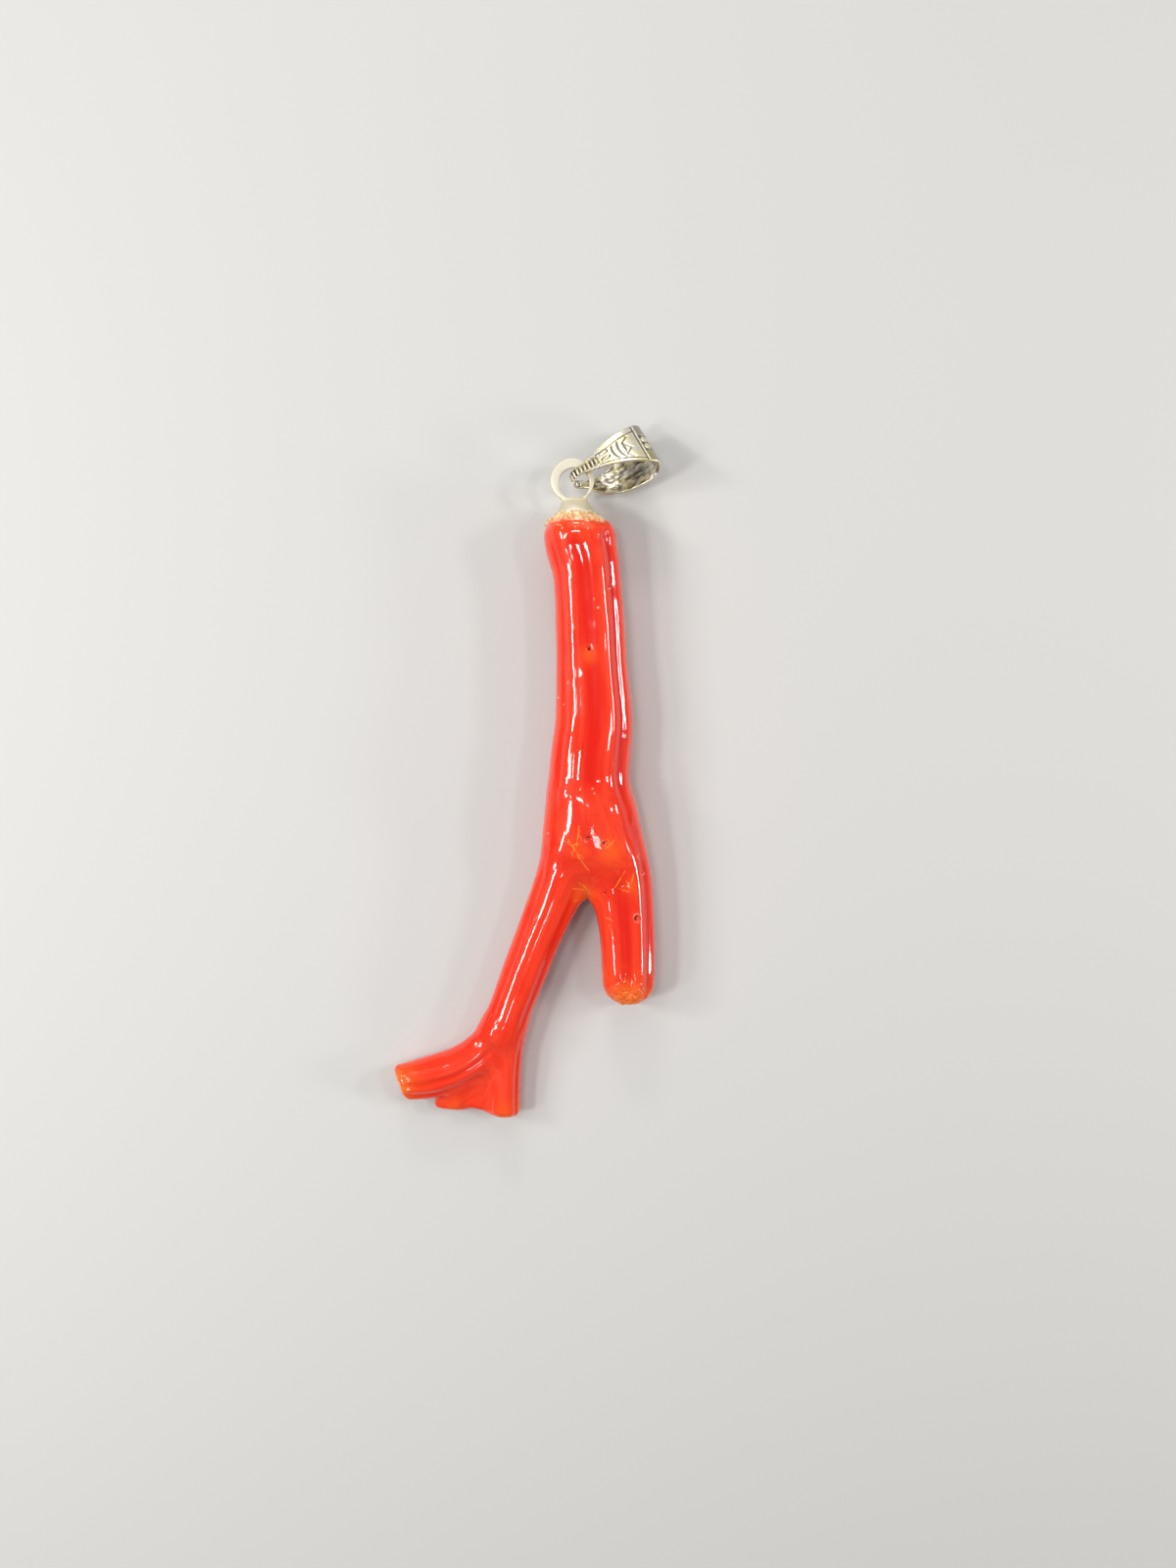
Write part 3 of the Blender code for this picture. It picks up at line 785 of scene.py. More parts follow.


# %% [markdown]
# ## The coral's finish
#
# Polished coral is bright orange red, a little waxy, and never quite even: deeper red runs in soft
# streaks along the limb, orange clouds sit at the forks and the sawn ends, and a fine grain shows
# where the polish is worn. Painted shade darkens the grooves and the pits. A coat over a waxy base
# gives the sharp light lines on top of a soft glow.

# %% Coral
CORAL = (0.82, 0.034, 0.010, 1)
# Deeper red: the coral's own deeper streaks, and the painted shade in its grooves.
CORAL_DEEP_AND_SHADE = (0.68, 0.010, 0.003, 1)
CORAL_PINK = (0.86, 0.060, 0.022, 1)
CORAL_ORANGE = (0.90, 0.115, 0.010, 1)
CORAL_VEIN = (0.95, 0.23, 0.035, 1)
CORAL_PALE = (0.95, 0.48, 0.26, 1)
# The painted shade in the pits.
PIT_SHADE = (0.30, 0.010, 0.006, 1)

coral = Finish(
    "coral",
    {
        "Roughness": 0.2,
        "IOR": 1.52,
        "Specular IOR Level": 0.06,
        "Coat Weight": 1.0,
        "Coat Roughness": 0.045,
        "Coat IOR": 1.5,
        "Subsurface Weight": 0.18,
        "Subsurface Radius": (1.0, 0.22, 0.10),
        "Subsurface Scale": 0.0007,
    },
)
growth = coral.node("ShaderNodeAttribute", {"attribute_name": "flow"}, output=1)
streaks = coral.speckle(coral.stretched(growth, (1.6, 0.07, 1.6)), 1.0, 3.0)
lines = coral.speckle(coral.stretched(growth, (5.5, 0.12, 5.5)), 1.0, 2.0)
clouding = coral.speckle(coral.stretched(growth, (0.5, 0.22, 0.5)), 1.0, 3.0)
grain = coral.speckle(growth, 4.5, 3.0, 0.65)

tone = coral.mix(streaks.between(0.38, 0.66), CORAL, CORAL_PINK)
tone = coral.mix(clouding.between(0.48, 0.7) * 0.5, tone, CORAL_DEEP_AND_SHADE)
tone = coral.mix(lines.between(0.5, 0.7) * 0.4, tone, CORAL_DEEP_AND_SHADE)
# Painted shade: the grooves are coloured deeper red, more so where they are deeper.
tone = coral.mix((coral.mask("groove") * 3.2).between(0.1, 0.8) * 0.9, tone, CORAL_DEEP_AND_SHADE)
tone = coral.mix(coral.mask("orange") * (0.55 + 0.5 * streaks), tone, CORAL_ORANGE)
tone = coral.mix(coral.mask("chip").between(0.2, 0.9) * 0.6, tone, CORAL_VEIN)
tone = coral.mix(coral.mask("crack").between(0.2, 0.9) * 0.3, tone, CORAL_DEEP_AND_SHADE)
tone = coral.mix(coral.mask("vein").between(0.1, 0.8) * 0.9, tone, CORAL_VEIN)
tone = coral.mix(coral.mask("pale").between(0.2, 0.95) * 0.75, tone, CORAL_PALE)
# Painted shade in the pits.
tone = coral.mix(coral.mask("pit").between(0.3, 0.8), tone, PIT_SHADE)
coral.show("Base Color", tone)

worn = coral.mask("worn") * grain.between(0.45, 0.62)
coral.show("Roughness", 0.17 + 0.12 * lines + 0.2 * worn + 0.3 * coral.mask("chip"))
coral.show("Coat Weight", (1 - 0.75 * worn) - 0.6 * coral.mask("chip"))
height = 0.25 * lines + 2.2 * (worn * grain) + 0.06 * grain + 0.8 * (coral.mask("chip") * grain)
coral.bump(height, 0.00005, 0.6)

CORAL_VALUES = {
    "flow": flow,
    "groove": carved,
    "pit": pit_shade_mask,
    "pale": pale_mask,
    "orange": orange_mask,
    "worn": worn_mask,
    "chip": chip_mask,
    "vein": vein_mask,
    "crack": crack_mask,
}
for name, values in CORAL_VALUES.items():
    keep(coral_mesh, name, values)
coral_branch = piece("coral_branch", coral_mesh, coral.material)

# %% [markdown]
# ## The glue
#
# The cap was pressed into a blob of clear amber glue, which squeezed out as an uneven slope with
# crumbs on it and small drops on the coral's shoulder. One smooth ring would look moulded. A turned
# slope with many small balls of varied size, melted together by the voxel remesh, looks squeezed.

# %% A slope and balls of glue melted into a bead
CAP_AXIS = (-1.35, 3.75)
GLUE_BALLS = 150
DROPS = (
    (-3.03, 28.4),
    (-3.3, 28.55),
    (-2.48, 29.0),
    (-1.4, 28.15),
    (-0.54, 28.45),
    (0.0, 27.95),
    (-2.8, 28.03),
    (-0.2, 28.9),
    (0.54, 29.3),
    (0.0, 28.8),
)
# The slope of glue between the cap and the coral's shoulder: heights along Y and radii.
GLUE_SLOPE = (
    (28.9, 3.62),
    (29.15, 3.50),
    (29.4, 3.30),
    (29.65, 3.04),
    (29.9, 2.76),
    (30.15, 2.50),
    (30.3, 2.36),
)
chance = np.random.default_rng(SEED)


def on_coral(x, y):
    """The height of the coral's upper side at one place in plan."""
    heights = np.linspace(9.0, 3.5, 56)
    column = np.stack([np.full(56, x), np.full(56, y), heights], 1)
    inside = branch_distance(column) < 0
    return heights[np.argmax(inside)]


def add_ball(mesh, place, radius):
    """One ball."""
    made = bmesh.ops.create_icosphere(mesh, subdivisions=2, radius=radius)
    bmesh.ops.translate(mesh, vec=place, verts=made["verts"])


def add_slope(mesh):
    """The slope, with an uneven outline."""
    rings = []
    for y, radius in GLUE_SLOPE:
        ring = []
        for k in range(96):
            turn = math.tau * k / 96
            ripple = noise.noise((2.2 * math.cos(turn), 2.2 * math.sin(turn), 1.4 * y))
            reach = radius * (1 + 0.035 * ripple) - 0.05
            x = CAP_AXIS[0] + 0.2 * (30.3 - y) + reach * math.cos(turn)
            ring.append(mesh.verts.new((x, y, CAP_AXIS[1] + 0.96 * reach * math.sin(turn))))
        rings.append(ring)
    skin(mesh, rings)


glue_mesh = bmesh.new()
add_slope(glue_mesh)
for _ in range(GLUE_BALLS):
    turn = chance.uniform(0, math.tau)
    spread = chance.uniform(0, 1)
    reach = 2.2 + 1.2 * spread
    y = 30.15 - 1.0 * spread**1.3 + chance.uniform(-0.08, 0.08)
    place = (CAP_AXIS[0] + reach * math.cos(turn), y, CAP_AXIS[1] + reach * math.sin(turn))
    add_ball(glue_mesh, place, chance.uniform(0.14, 0.27))
for x, y in DROPS:
    add_ball(glue_mesh, (x, y, on_coral(x, y)), 0.15)
glue_bead = even_skin(glue_mesh, 0.075)
glue_points = places_of(glue_bead)
print("glue from", glue_points.min(0).round(2), "to", glue_points.max(0).round(2))

# %% Glue
glue = Finish(
    "glue",
    {
        "Roughness": 0.12,
        "IOR": 1.5,
        "Coat Weight": 0.6,
        "Coat Roughness": 0.05,
        "Subsurface Weight": 0.3,
        "Subsurface Radius": (1.0, 0.6, 0.25),
        "Subsurface Scale": 0.0006,
    },
)
here = glue.node("ShaderNodeTexCoord", output=3)
crumbs = glue.speckle(here, 3200.0, 3.0, 0.6)
depth = glue.node("ShaderNodeSeparateXYZ", {}, {0: here}, output=1)
near_coral = 1 - depth.between((PLACE[1] + 28.9) * MM, (PLACE[1] + 29.7) * MM)
amber = glue.mix(crumbs.between(0.42, 0.62), (0.62, 0.30, 0.07, 1), (0.95, 0.80, 0.50, 1))
amber = glue.mix(near_coral * 0.65, amber, (0.88, 0.17, 0.06, 1))
glue.show("Base Color", amber)
glue.show("Roughness", 0.08 + 0.25 * crumbs)
glue.bump(crumbs, 0.00006)
glue_piece = piece("glue_bead", glue_bead, glue.material)

# %% [markdown]
# ## The cap and its loop
#
# A small foot, a pinched neck and a flat ring, cast in one. A Boolean of the two shapes leaves a
# hard seam where castings have a soft one, so both are put in one mesh, remeshed with a fine voxel
# and smoothed: the neck then flows into the ring.

# %% The cap's sections and the loop's section, in millimetres
CAP_BASE = 30.8
CAP_SECTIONS = (
    (-0.62, 2.12, 2.12),
    (-0.55, 2.20, 2.20),
    (-0.45, 2.21, 2.21),
    (-0.10, 2.03, 1.98),
    (0.25, 1.84, 1.60),
    (0.60, 1.60, 1.10),
    (0.95, 1.44, 0.62),
    (1.36, 1.40, 0.25),
)
LOOP_RADIUS = 2.46
LOOP_HALF_THICKNESS = 0.27
HOLE_RADIUS = 1.72
HOLE_OFFSET = (0.20, -0.40)
NECK_SHIFT = 0.3
ROUND_STEPS = 120
SECTION_STEPS = 24


def hole_edge(turn):
    """How far the edge of the loop's hole is from the loop's centre, in one direction."""
    ahead = HOLE_OFFSET[0] * math.cos(turn) + HOLE_OFFSET[1] * math.sin(turn)
    across = HOLE_OFFSET[0] * math.sin(turn) - HOLE_OFFSET[1] * math.cos(turn)
    return ahead + math.sqrt(HOLE_RADIUS**2 - across**2)


def soft_square(turn, power=0.45):
    """A point on a square of half width 1 with rounded corners."""
    across, up = math.cos(turn), math.sin(turn)
    return math.copysign(abs(across) ** power, across), math.copysign(abs(up) ** power, up)


def loop_rings(mesh):
    """The loop: a flat band with soft edges whose hole is a little off its centre."""
    rings = []
    for i in range(ROUND_STEPS):
        turn = math.tau * i / ROUND_STEPS
        inner = hole_edge(turn)
        middle, half = (inner + LOOP_RADIUS) / 2, (LOOP_RADIUS - inner) / 2
        ring = []
        for k in range(SECTION_STEPS):
            across, up = soft_square(math.tau * k / SECTION_STEPS)
            reach = middle + half * across
            x = LOOP_CENTRE[0] + reach * math.cos(turn)
            y = LOOP_CENTRE[1] + reach * math.sin(turn)
            ring.append(mesh.verts.new((x, y, LOOP_CENTRE[2] + LOOP_HALF_THICKNESS * up)))
        rings.append(ring)
    skin(mesh, rings, closed=True)


def cap_rings(mesh):
    """The cap: a round foot that narrows into the flat neck under the loop."""
    rings = []
    for height, wide, deep in CAP_SECTIONS:
        lean = (LOOP_CENTRE[0] + NECK_SHIFT - CAP_AXIS[0]) * height / CAP_SECTIONS[-1][0]
        ring = []
        for k in range(ROUND_STEPS // 2):
            turn = math.tau * k / (ROUND_STEPS // 2)
            x = CAP_AXIS[0] + lean + wide * math.cos(turn)
            ring.append(mesh.verts.new((x, CAP_BASE + height, CAP_AXIS[1] + deep * math.sin(turn))))
        rings.append(ring)
    skin(mesh, rings)


cap_mesh = bmesh.new()
cap_rings(cap_mesh)
loop_rings(cap_mesh)
cast = even_skin(cap_mesh, 0.065)
soft = bmesh.new()
soft.from_mesh(cast)
for _ in range(4):
    bmesh.ops.smooth_vert(
        soft, verts=soft.verts, factor=0.5, use_axis_x=True, use_axis_y=True, use_axis_z=True
    )
soft.to_mesh(cast)
soft.free()
cast_points = places_of(cast)
print("cast from", cast_points.min(0).round(2), "to", cast_points.max(0).round(2))

# %% [markdown]
# ## Silver
#
# Both fittings are pale, warm and softly shiny, with grey in the hollows and a breath of yellow
# tarnish. Metal shows little but its surroundings, so the finish is mostly roughness and small dents;
# the tarnish and the dirt in the recesses tint what it mirrors. The dark mottles on the bail's inner
# face are painted reflection, and its back leaf and the sides of its fold are greyed evenly.

# %% A silver finish for both fittings
SILVER_YELLOW = (0.88, 0.78, 0.44, 1)
SILVER_GREY = (0.075, 0.058, 0.038, 1)


def silver_finish(name, shine, dents, tarnish, silver):
    """Warm silver: how rough it is, its dents' depth in metres, how yellow it gets, its own colour."""
    made = Finish(name, {"Metallic": 1.0, "Roughness": shine})
    place = made.node("ShaderNodeTexCoord", output=3)
    blotches = made.speckle(place, 420.0, 3.0, 0.6)
    scuffs = made.speckle(place, 2600.0, 3.0, 0.6)
    colour = made.mix(blotches.between(0.46, 0.6) * tarnish, silver, SILVER_YELLOW)
    # Grey: patina in the engraving, painted dark reflection on the bail's inner face, and an even grey
    # on the back leaf.
    colour = made.mix(made.mask("patina_and_reflection").between(0.1, 0.95) * 0.92, colour, SILVER_GREY)
    made.show("Base Color", colour)
    made.show("Roughness", shine + 0.15 * (scuffs - 0.4))
    made.bump(0.7 * scuffs + 0.6 * blotches, dents)
    return made.material


keep(cast, "patina_and_reflection", np.zeros(len(cast_points)))
cast_silver = silver_finish("cast_silver", 0.60, 0.00003, 0.35, (0.75, 0.70, 0.58, 1))
end_cap_piece = piece("end_cap_cast", cast, cast_silver)

# %% [markdown]
# ## The bail
#
# The bail is one strip: it comes round a tight bend inside the loop, widens along its decorated
# front, turns over a crease into a fold, and comes back underneath. It is drawn as its middle line
# and a width that grows along it. The engraving is a depth for every point of the front face, with
# border lines, a leaf, arcs and a zigzag cut into it, so it is real relief and not a picture of one.

# %% The bail's middle line, in millimetres
BAIL_AZIMUTH = 25.0
BAIL_ROLL = -29.0
BAIL_TIP = -0.18
BAIL_SIDE = 0.20
BEND_CENTRE = (1.25, 0.15)
BEND_RADIUS = 1.10
BEND_START = 250.0
BEND_SWEEP = 150.0
BEND_STEPS = 48
FRONT_LEAF = ((2.3, 1.36), (3.9, 1.62), (5.6, 1.72), (7.3, 1.50))
CREASE = (8.70, 1.05)
FOLD = ((9.35, 0.66), (9.62, 0.05), (9.50, -0.72))
BACK_LEAF = ((8.95, -1.55), (7.5, -2.32), (6.0, -2.72), (4.5, -2.85), (3.2, -2.55), (2.15, -1.88))
BAIL_HALF_THICKNESS = 0.15
TIP_HALF_WIDTH = 0.60
FOLD_HALF_WIDTH = 2.9
TAPER_START = 1.8
TAPER_END = 1.03
BACK_SWELL = 0.65
LINE_STEPS = 20


def bail_line():
    """Points of the middle line once round, and which stretch of the strip each is in."""
    bend = []
    for k in range(BEND_STEPS):
        turn = math.radians(BEND_START - BEND_SWEEP * k / (BEND_STEPS - 1))
        length = BEND_CENTRE[0] + BEND_RADIUS * math.cos(turn)
        bend.append((length, BEND_CENTRE[1] + BEND_RADIUS * math.sin(turn)))
    front = smooth_path(bend[-1:] + list(FRONT_LEAF) + [CREASE], LINE_STEPS)[1:-1]
    back = smooth_path([CREASE, *FOLD, *BACK_LEAF, bend[0]], LINE_STEPS // 2)[:-1]
    stretches = ["bend"] * len(bend) + ["front"] * len(front)
    stretches += ["fold" if row[0] > 8.9 else "back" for row in back]
    return np.array([*bend, *front, *back]), np.array(stretches)


def bail_half_width(length, swell=1.0):
    """Half the strip's width at places along the bail. A swell under 1 widens it sooner."""
    part = np.clip((length - TAPER_START) / (CREASE[0] - TAPER_START), 0, TAPER_END)
    return TIP_HALF_WIDTH + (FOLD_HALF_WIDTH - TIP_HALF_WIDTH) * part**swell


line, stretches = bail_line()
print("the bail's line has", len(line), "points")

# %% The engraving
UPPER_BORDER = 0.85
LOWER_BORDER = 0.45
FIELD_DEPTH = 0.10
ARC_PITCH = 0.72
HAMMER = 0.08
COIL_END = 3.5
ARCS_START = 5.0
ARCS_END = 6.9
LEAF_PLACE = (4.45, 0.42)
LEAF_HALVES = (0.55, 0.24)
ZIGZAG_PLACE = 6.75
ZIGZAG_PITCH = 1.7


def ridge(distance, half_width):
    """A rounded ridge 1 high, from its distance to the middle."""
    return np.clip(1 - (distance / half_width) ** 2, 0, 1)


def engraving(length, deep, across, half, stretch):
    """How deep the outer face is cut, from 0 to 0.1 mm, and how dark it is there."""
    if stretch == "fold":
        in_middle = np.clip((1.35 - np.abs(across)) / 0.12, 0, 1)
        oval = ((across / 1.1) % 1 * 2 - 1) ** 2 + ((deep / 0.46) % 1 * 2 - 1) ** 2
        cut = in_middle * np.clip(2 * oval - 1.2, 0, 1)
        return FIELD_DEPTH * cut, np.maximum(cut, 0.55 * (1 - in_middle))
    if stretch == "back":
        return np.zeros_like(across), np.full_like(across, 0.3)
    if stretch == "bend" or length < COIL_END:
        cut = np.full_like(across, 1.0) if stretch == "bend" else ridge(across, 0.75)
        return FIELD_DEPTH * cut, cut
    border = np.where(across > 0, UPPER_BORDER, LOWER_BORDER) * min(1, half / 1.6)
    inner = half - np.abs(across) - border
    rim = ridge(inner, 0.10)
    inside = np.clip((inner - 0.1) / 0.15, 0, 1)
    curl = length - 0.42 * across**2 / max(half, 0.1)
    arcs = ridge((curl / ARC_PITCH) % 1 - 0.5, 0.15) * (ARCS_START < length < ARCS_END)
    aside = (np.abs(across) - LEAF_PLACE[1]) / LEAF_HALVES[1]
    oval = np.hypot((length - LEAF_PLACE[0]) / LEAF_HALVES[0], aside)
    leaf = ridge(oval - 0.9, 0.25) * (length < ARCS_START)
    zigzag = np.abs((across / ZIGZAG_PITCH + 0.2) % 1 - 0.5) * ZIGZAG_PITCH
    zigzag = ridge(length - ZIGZAG_PLACE - zigzag, 0.10)
    crease = ridge(length - CREASE[0] + 0.12, 0.12)
    cut = np.maximum(np.maximum(rim, crease), inside * np.maximum(np.maximum(arcs, leaf), zigzag))
    return FIELD_DEPTH * cut, cut


# %% The strip
OUTER_COLUMNS = 91
INNER_COLUMNS = 61


def strip_rows():
    """Each cross section of the strip as places (along, across, deep), with its mask of grey patina and
    painted reflection.
    """
    count = len(line)
    rows, patina_and_reflection = [], []
    for i, (length, deep) in enumerate(line):
        ahead = line[(i + 1) % count] - line[i - 1]
        out = unit(np.array((-ahead[1], ahead[0])))
        swell = BACK_SWELL if stretches[i] in ("fold", "back") else 1.0
        half = float(bail_half_width(length, swell))
        for columns, face in ((OUTER_COLUMNS, 1), (INNER_COLUMNS, -1)):
            across = np.linspace(-half, half, columns) * face
            edge = np.clip((0.09 - half + np.abs(across)) / 0.09, 0, 1)
            places = np.stack([np.full(columns, length), across, np.full(columns, deep)], 1)
            if face == 1:
                low, dark = engraving(length, deep, across, half, stretches[i])
            else:
                # Dents on the inner face, which the mask also colours dark as painted reflection of
                # dark surroundings.
                dark = 0.9 * lumps(places, (0.85, 0.5, 0.85))
                dark += 0.6 * lumps(places, (0.4, 0.25, 0.4), 4.4)
                dark = np.clip(0.44 + dark, 0, 0.9)
                low = HAMMER * dark
            low = low * (1 - edge)
            lift = face * (BAIL_HALF_THICKNESS * np.sqrt(1 - 0.7 * edge**2) - low)
            rows.append(places + np.stack([BAIL_TIP + out[0] * lift, 0 * lift, out[1] * lift], 1))
            patina_and_reflection.append(dark * (1 - edge))
    return np.concatenate(rows), np.concatenate(patina_and_reflection)


def turned(points):
    """The bail's own places rolled, pushed aside, and swung to where it hangs in the loop."""
    roll = Matrix.Rotation(math.radians(BAIL_ROLL), 4, "X")
    aside = Matrix.Translation((0, -BAIL_SIDE, 0))
    swing = Matrix.Translation(LOOP_CENTRE) @ Matrix.Rotation(math.radians(BAIL_AZIMUTH), 4, "Z")
    whole = np.array(swing @ aside @ roll)
    return points @ whole[:3, :3].T + whole[:3, 3]


strip, patina_and_reflection = strip_rows()
columns = OUTER_COLUMNS + INNER_COLUMNS
faces = []
for i in range(len(line)):
    a, b = i * columns, (i + 1) % len(line) * columns
    for k in range(columns):
        after = (k + 1) % columns
        faces.append((a + k, b + k, b + after, a + after))
bail_mesh = bpy.data.meshes.new("bail_strip")
bail_mesh.from_pydata(turned(strip).tolist(), [], faces)
bail_mesh.validate()
outward = bmesh.new()
outward.from_mesh(bail_mesh)
bmesh.ops.recalc_face_normals(outward, faces=outward.faces)
outward.to_mesh(bail_mesh)
outward.free()
keep(bail_mesh, "patina_and_reflection", patina_and_reflection)
bail_silver = silver_finish("bail_silver", 0.32, 0.000025, 0.9, (0.81, 0.75, 0.635, 1))
bail_piece = piece("bail_strip", bail_mesh, bail_silver)

# %% [markdown]
# ## Beads and ribs on the bail
#
# A few small beads run along each border near the narrow end, and ribs cross that end. They repeat
# along a path, which is what Geometry Nodes are for: the tree resamples a line, puts one shape on
# each of its points, varies their size a little, and makes them real.

# %% A tree that sets shapes along a line
TREE_INPUTS = (
    ("Line", "Geometry"),
    ("Shape", "Object"),
    ("Spacing", "Float"),
    ("Least size", "Float"),
    ("Finish", "Material"),
)


def shapes_along():
    """The node tree: named inputs for the shape, the spacing, the size and the finish."""
    tree = bpy.data.node_groups.new("shapes_along", "GeometryNodeTree")
    for name, kind in TREE_INPUTS:
        tree.interface.new_socket(name, in_out="INPUT", socket_type="NodeSocket" + kind)
    tree.interface.new_socket("Geometry", in_out="OUTPUT", socket_type="NodeSocketGeometry")
    node, link = tree.nodes.new, tree.links.new
    start, end = node("NodeGroupInput"), node("NodeGroupOutput")
    curve = node("GeometryNodeMeshToCurve")
    link(start.outputs["Line"], curve.inputs["Mesh"])
    even = node("GeometryNodeResampleCurve")
    even.mode = "LENGTH"
    link(curve.outputs[0], even.inputs["Curve"])
    link(start.outputs["Spacing"], even.inputs["Length"])
    shape = node("GeometryNodeObjectInfo")
    link(start.outputs["Shape"], shape.inputs["Object"])
    tangent = node("GeometryNodeInputTangent")
    turn = node("FunctionNodeAlignRotationToVector")
    turn.axis = "X"
    link(tangent.outputs[0], turn.inputs["Vector"])
    vary = node("FunctionNodeRandomValue")
    vary.data_type = "FLOAT"
    link(start.outputs["Least size"], vary.inputs[2])
    vary.inputs[3].default_value = 1.0
    vary.inputs["Seed"].default_value = SEED
    put = node("GeometryNodeInstanceOnPoints")
    link(even.outputs[0], put.inputs["Points"])
    link(shape.outputs["Geometry"], put.inputs["Instance"])
    link(turn.outputs[0], put.inputs["Rotation"])
    link(vary.outputs[1], put.inputs["Scale"])
    real = node("GeometryNodeRealizeInstances")
    link(put.outputs[0], real.inputs[0])
    paint = node("GeometryNodeSetMaterial")
    link(real.outputs[0], paint.inputs["Geometry"])
    link(start.outputs["Finish"], paint.inputs["Material"])
    link(paint.outputs[0], end.inputs["Geometry"])
    return tree


ALONG = shapes_along()
SOCKETS = {item.name: item.identifier for item in ALONG.interface.items_tree if item.in_out == "INPUT"}
print("inputs:", sorted(SOCKETS))


# %% Run the tree on a line
def set_along(name, points, shape, spacing, least, finish):
    """Shapes set along a line of points, as a plain mesh. All in millimetres."""
    path = bpy.data.meshes.new(name)
    path.from_pydata([tuple(row) for row in points], [(i, i + 1) for i in range(len(points) - 1)], [])
    carrier = new_object(name, path)
    rows = carrier.modifiers.new("shapes_along", "NODES")
    rows.node_group = ALONG
    rows[SOCKETS["Shape"]] = shape
    rows[SOCKETS["Spacing"]] = spacing
    rows[SOCKETS["Least size"]] = least
    rows[SOCKETS["Finish"]] = finish
    finished = carrier.evaluated_get(bpy.context.evaluated_depsgraph_get())
    result = bpy.data.meshes.new_from_object(finished)
    carrier.modifiers.remove(rows)
    bpy.data.objects.remove(carrier)
    return result


def little_shape(name, make):
    """An object for the tree to copy."""
    mesh = bmesh.new()
    make(mesh)
    return new_object(name, to_data(mesh, name))


BEAD_RADIUS = 0.17
BEAD_SPACING = 0.42
BEAD_SINK = 0.06
bead = little_shape(
    "bead",
    lambda mesh: bmesh.ops.create_icosphere(mesh, subdivisions=2, radius=BEAD_RADIUS),
)
front = line[stretches == "front"]
bead_rows = []
for side, last, inset in ((1, 6.2, 0.32), (-1, 4.6, 0.22)):
    middle = front[(front[:, 0] > 2.3) & (front[:, 0] < last)]
    across = side * (bail_half_width(middle[:, 0]) - inset)
    lift = middle[:, 1] + BAIL_HALF_THICKNESS - BEAD_SINK
    row = turned(np.stack([middle[:, 0] + BAIL_TIP, across, lift], 1))
    bead_rows.append(set_along(f"bead_row_{side}", row, bead, BEAD_SPACING, 0.6, bail_silver))
bpy.data.objects.remove(bead)
print("bead rows:", [len(row.polygons) for row in bead_rows], "faces")

# %% Ribs over the narrow end
RIB_SPACING = 0.44
RIB_RADIUS = 0.16
RIB_LIFT = 0.02


def rib_bar(mesh):
    """A slim round bar across the strip."""
    made = bmesh.ops.create_uvsphere(mesh, u_segments=12, v_segments=8, radius=1.0)
    bmesh.ops.scale(mesh, vec=(RIB_RADIUS, TIP_HALF_WIDTH, RIB_RADIUS), verts=made["verts"])


rib = little_shape("rib", rib_bar)
narrow = line[: BEND_STEPS + 2 * LINE_STEPS]
narrow = narrow[(narrow[:, 0] < COIL_END - 0.1)]
steps = np.gradient(narrow, axis=0)
out = np.stack([-steps[:, 1], steps[:, 0]], 1) / np.linalg.norm(steps, axis=1)[:, None]
face = narrow + out * (BAIL_HALF_THICKNESS + RIB_LIFT - RIB_RADIUS)
rib_line = np.stack([face[:, 0] + BAIL_TIP, np.zeros(len(face)), face[:, 1]], 1)
ribs = set_along("ribs", rib_line, rib, RIB_SPACING, 0.95, bail_silver)
bpy.data.objects.remove(rib)
place_all(ribs, turned(places_of(ribs)))
print("ribs:", len(ribs.polygons), "faces")

# %% One piece for the beads and ribs
trim = bmesh.new()
for part in (*bead_rows, ribs):
    trim.from_mesh(part)
    bpy.data.meshes.remove(part)
trim_mesh = to_data(trim, "bail_trim")
keep(trim_mesh, "patina_and_reflection", np.zeros(len(trim_mesh.vertices)))
bail_trim = piece("bail_trim", trim_mesh, bail_silver)

# %% [markdown]
# ## What moves with what
#
# The bail turns on the loop, so its strip and trim ride on the bail's body. All else rides with the
# coral. Each piece also says which solids it stands for, which are hidden, and which finish of the
# record it has, which nothing here uses.

# %% Ride, and hide the solids
RIDES = (
    (coral_branch, "coral", ("trunk", "short_branch", "long_branch", "toe_twig", "heel_twig"), "coral"),
    (glue_piece, "coral", ("glue_collar",), "glue"),
    (end_cap_piece, "coral", ("end_cap",), "silver"),
    (bail_piece, "bail", ("bail",), "silver"),
    (bail_trim, "bail", (), "silver"),
)
for made, body, nodes, slot in RIDES:
    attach(made, body)
    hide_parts(*nodes)
print("pieces:", [made.name for made, *_ in RIDES])

# %% [markdown]
# ## Floor, light and camera
#
# Polished coral shows its light as bright lines. Each narrow lamp draws one, where the coral mirrors
# it: its lean sets how far the line is from the limb's top, its width how wide the line is, and its
# place along Y where on the limb it lies. A wide soft box beyond the cap gives the even light. The
# long limbs cannot mirror that one, so it does not veil their red. A small box lights the toe.
# The camera looks straight down, as in the photo.

# %% Floor
floor_mesh = bmesh.new()
bmesh.ops.create_grid(floor_mesh, x_segments=1, y_segments=1, size=0.6)
floor_data = to_data(floor_mesh, "floor")
paper = Finish("pale_paper", {"Base Color": (0.56, 0.55, 0.53, 1), "Roughness": 0.9})
floor_data.materials.append(paper.material)
floor = new_object("floor", floor_data)
floor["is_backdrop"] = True


# %% Soft boxes and strips
STRIP_REACH = 0.30


def area_lamp(name, width, length, watts):
    """A rectangular light, not yet placed."""
    light = bpy.data.lights.new(name, "AREA")
    light.shape = "RECTANGLE"
    light.size, light.size_y = width, length
    light.energy = watts
    return new_object(name, light)


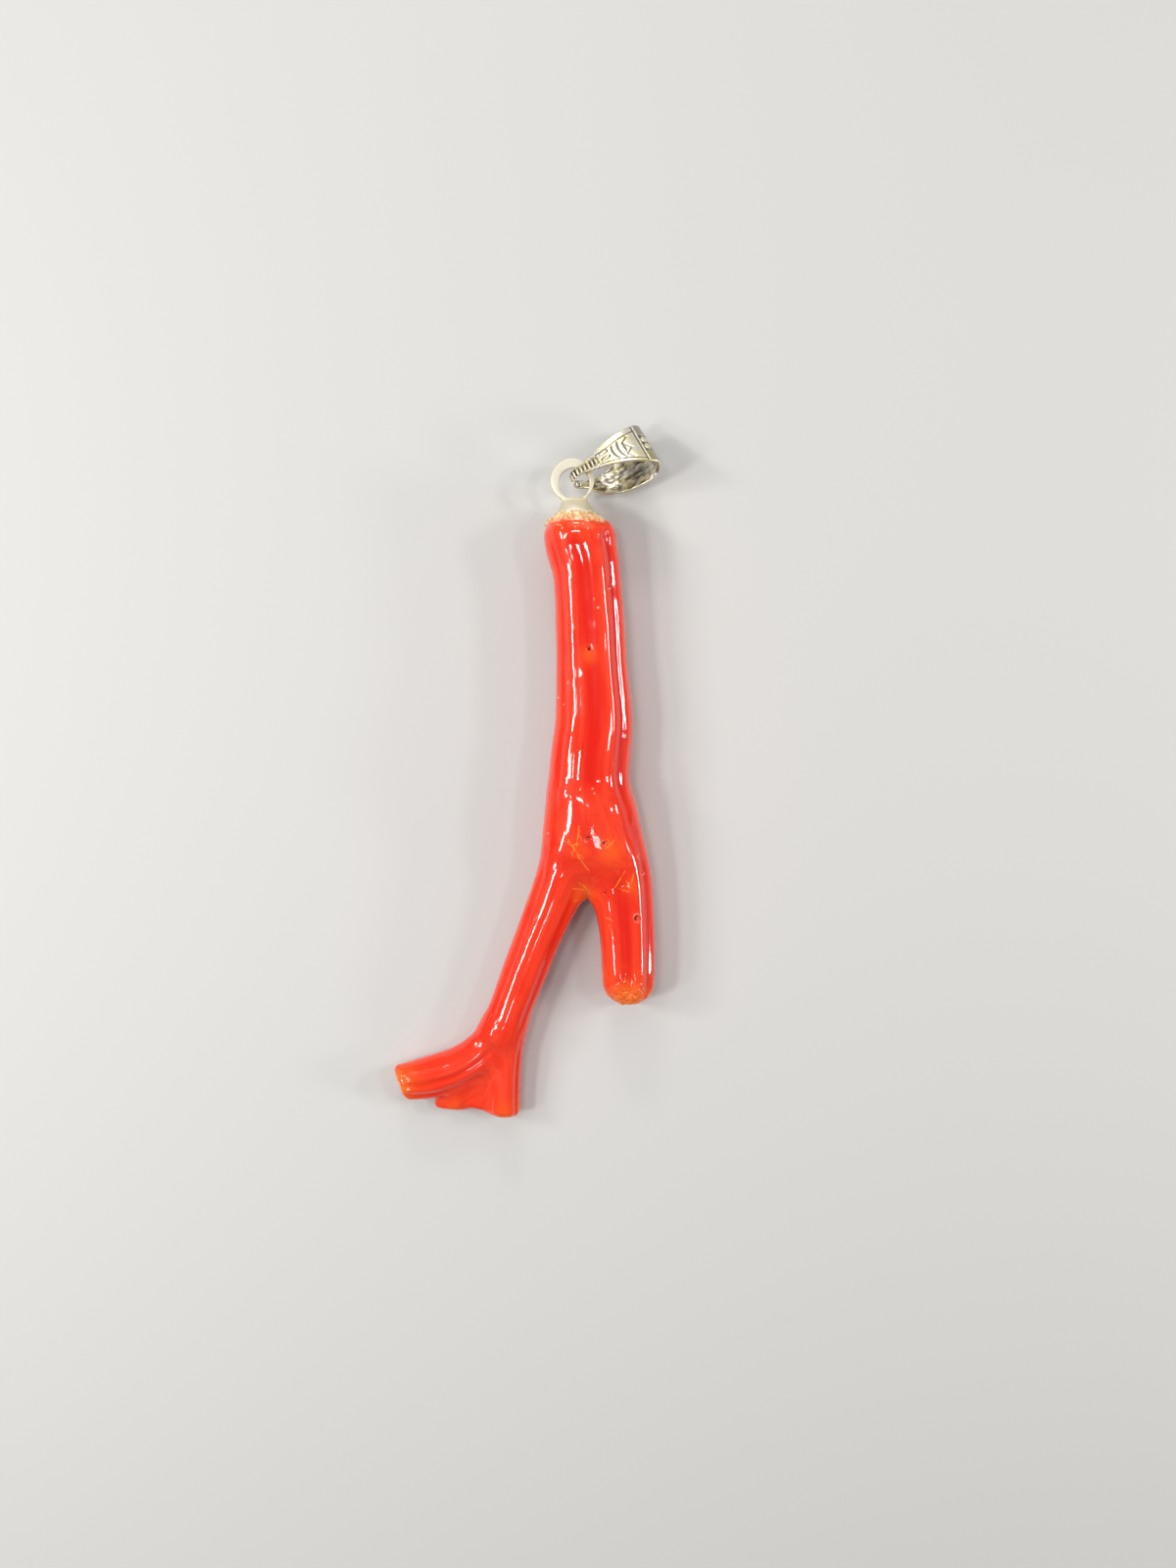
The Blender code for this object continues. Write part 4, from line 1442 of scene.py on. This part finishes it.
def soft_box(name, place, size, watts, target=(0.007, 0.0, 0.004)):
    """A light that faces a point of the pendant."""
    lamp = area_lamp(name, *size, watts)
    lamp.location = place
    lamp.rotation_mode = "QUATERNION"
    lamp.rotation_quaternion = (Vector(target) - Vector(place)).to_track_quat("-Z", "Y")


def strip_lamp(name, lean, along, length, width, glow):
    """A narrow lamp over the pendant: its lean from overhead, and its place and length along Y."""
    lamp = area_lamp(name, width, length, glow * math.pi * width * length)
    turn = math.radians(lean)
    lamp.location = (PLACE[0] * MM + STRIP_REACH * math.sin(turn), along, STRIP_REACH * math.cos(turn))
    lamp.rotation_euler = (0, turn, 0)


# A strip: its name, its lean in degrees, its place along Y, its length and width, and its glow.
STRIPS = (
    ("left_top", -57, 0.058, 0.045, 0.042, 34),
    ("right_top", 57, 0.058, 0.045, 0.030, 34),
    ("middle_1", -50, 0.026, 0.030, 0.036, 30),
    ("middle_2", -36, 0.022, 0.026, 0.020, 28),
    ("middle_3", -12, 0.022, 0.030, 0.046, 28),
    ("middle_4", 36, 0.030, 0.036, 0.028, 30),
    ("middle_5", 58, 0.026, 0.028, 0.018, 30),
    ("crotch", -5, -0.110, 0.034, 0.026, 18),
    ("left_low", -37, -0.045, 0.050, 0.040, 32),
    ("left_far", -48, -0.074, 0.044, 0.032, 34),
    ("right_low", 72, -0.050, 0.070, 0.030, 36),
)
for strip_values in STRIPS:
    strip_lamp(*strip_values)
soft_box("toe_light", (-0.03, 0.27, 0.12), (0.06, 0.03), 0.15)
soft_box("far_end", (0.02, 0.40, 0.30), (0.60, 0.45), 0.8)
world = bpy.data.worlds.new("studio")
world.use_nodes = True
world.node_tree.nodes["Background"].inputs["Color"].default_value = (0.95, 0.97, 1.0, 1)
world.node_tree.nodes["Background"].inputs["Strength"].default_value = 0.18
bpy.context.scene.world = world

# %% Camera
CAMERA_HEIGHT = 0.1438
LIMB_HEIGHT = 0.0038
SENSOR = 36.0
TALL_VIEW = 0.176
camera_data = bpy.data.cameras.new("camera")
camera_data.sensor_width = SENSOR
camera_data.sensor_fit = "AUTO"
camera_data.lens = SENSOR * (CAMERA_HEIGHT - LIMB_HEIGHT) / TALL_VIEW
camera_data.clip_start = 0.01
camera_data.clip_end = 5.0
camera = new_object("camera", camera_data)
camera.location = (PLACE[0] * MM, PLACE[1] * MM, CAMERA_HEIGHT)
bpy.context.scene.camera = camera
bpy.context.scene.view_settings.view_transform = "Standard"
print("lens, mm:", round(camera_data.lens, 2))

# %% Sizes, and the end
boxes = {"solids": SOLIDS_BOX, "visual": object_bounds()}
for name, box in boxes.items():
    print(name, [[round(1000 * size, 2) for size in corner] for corner in box])
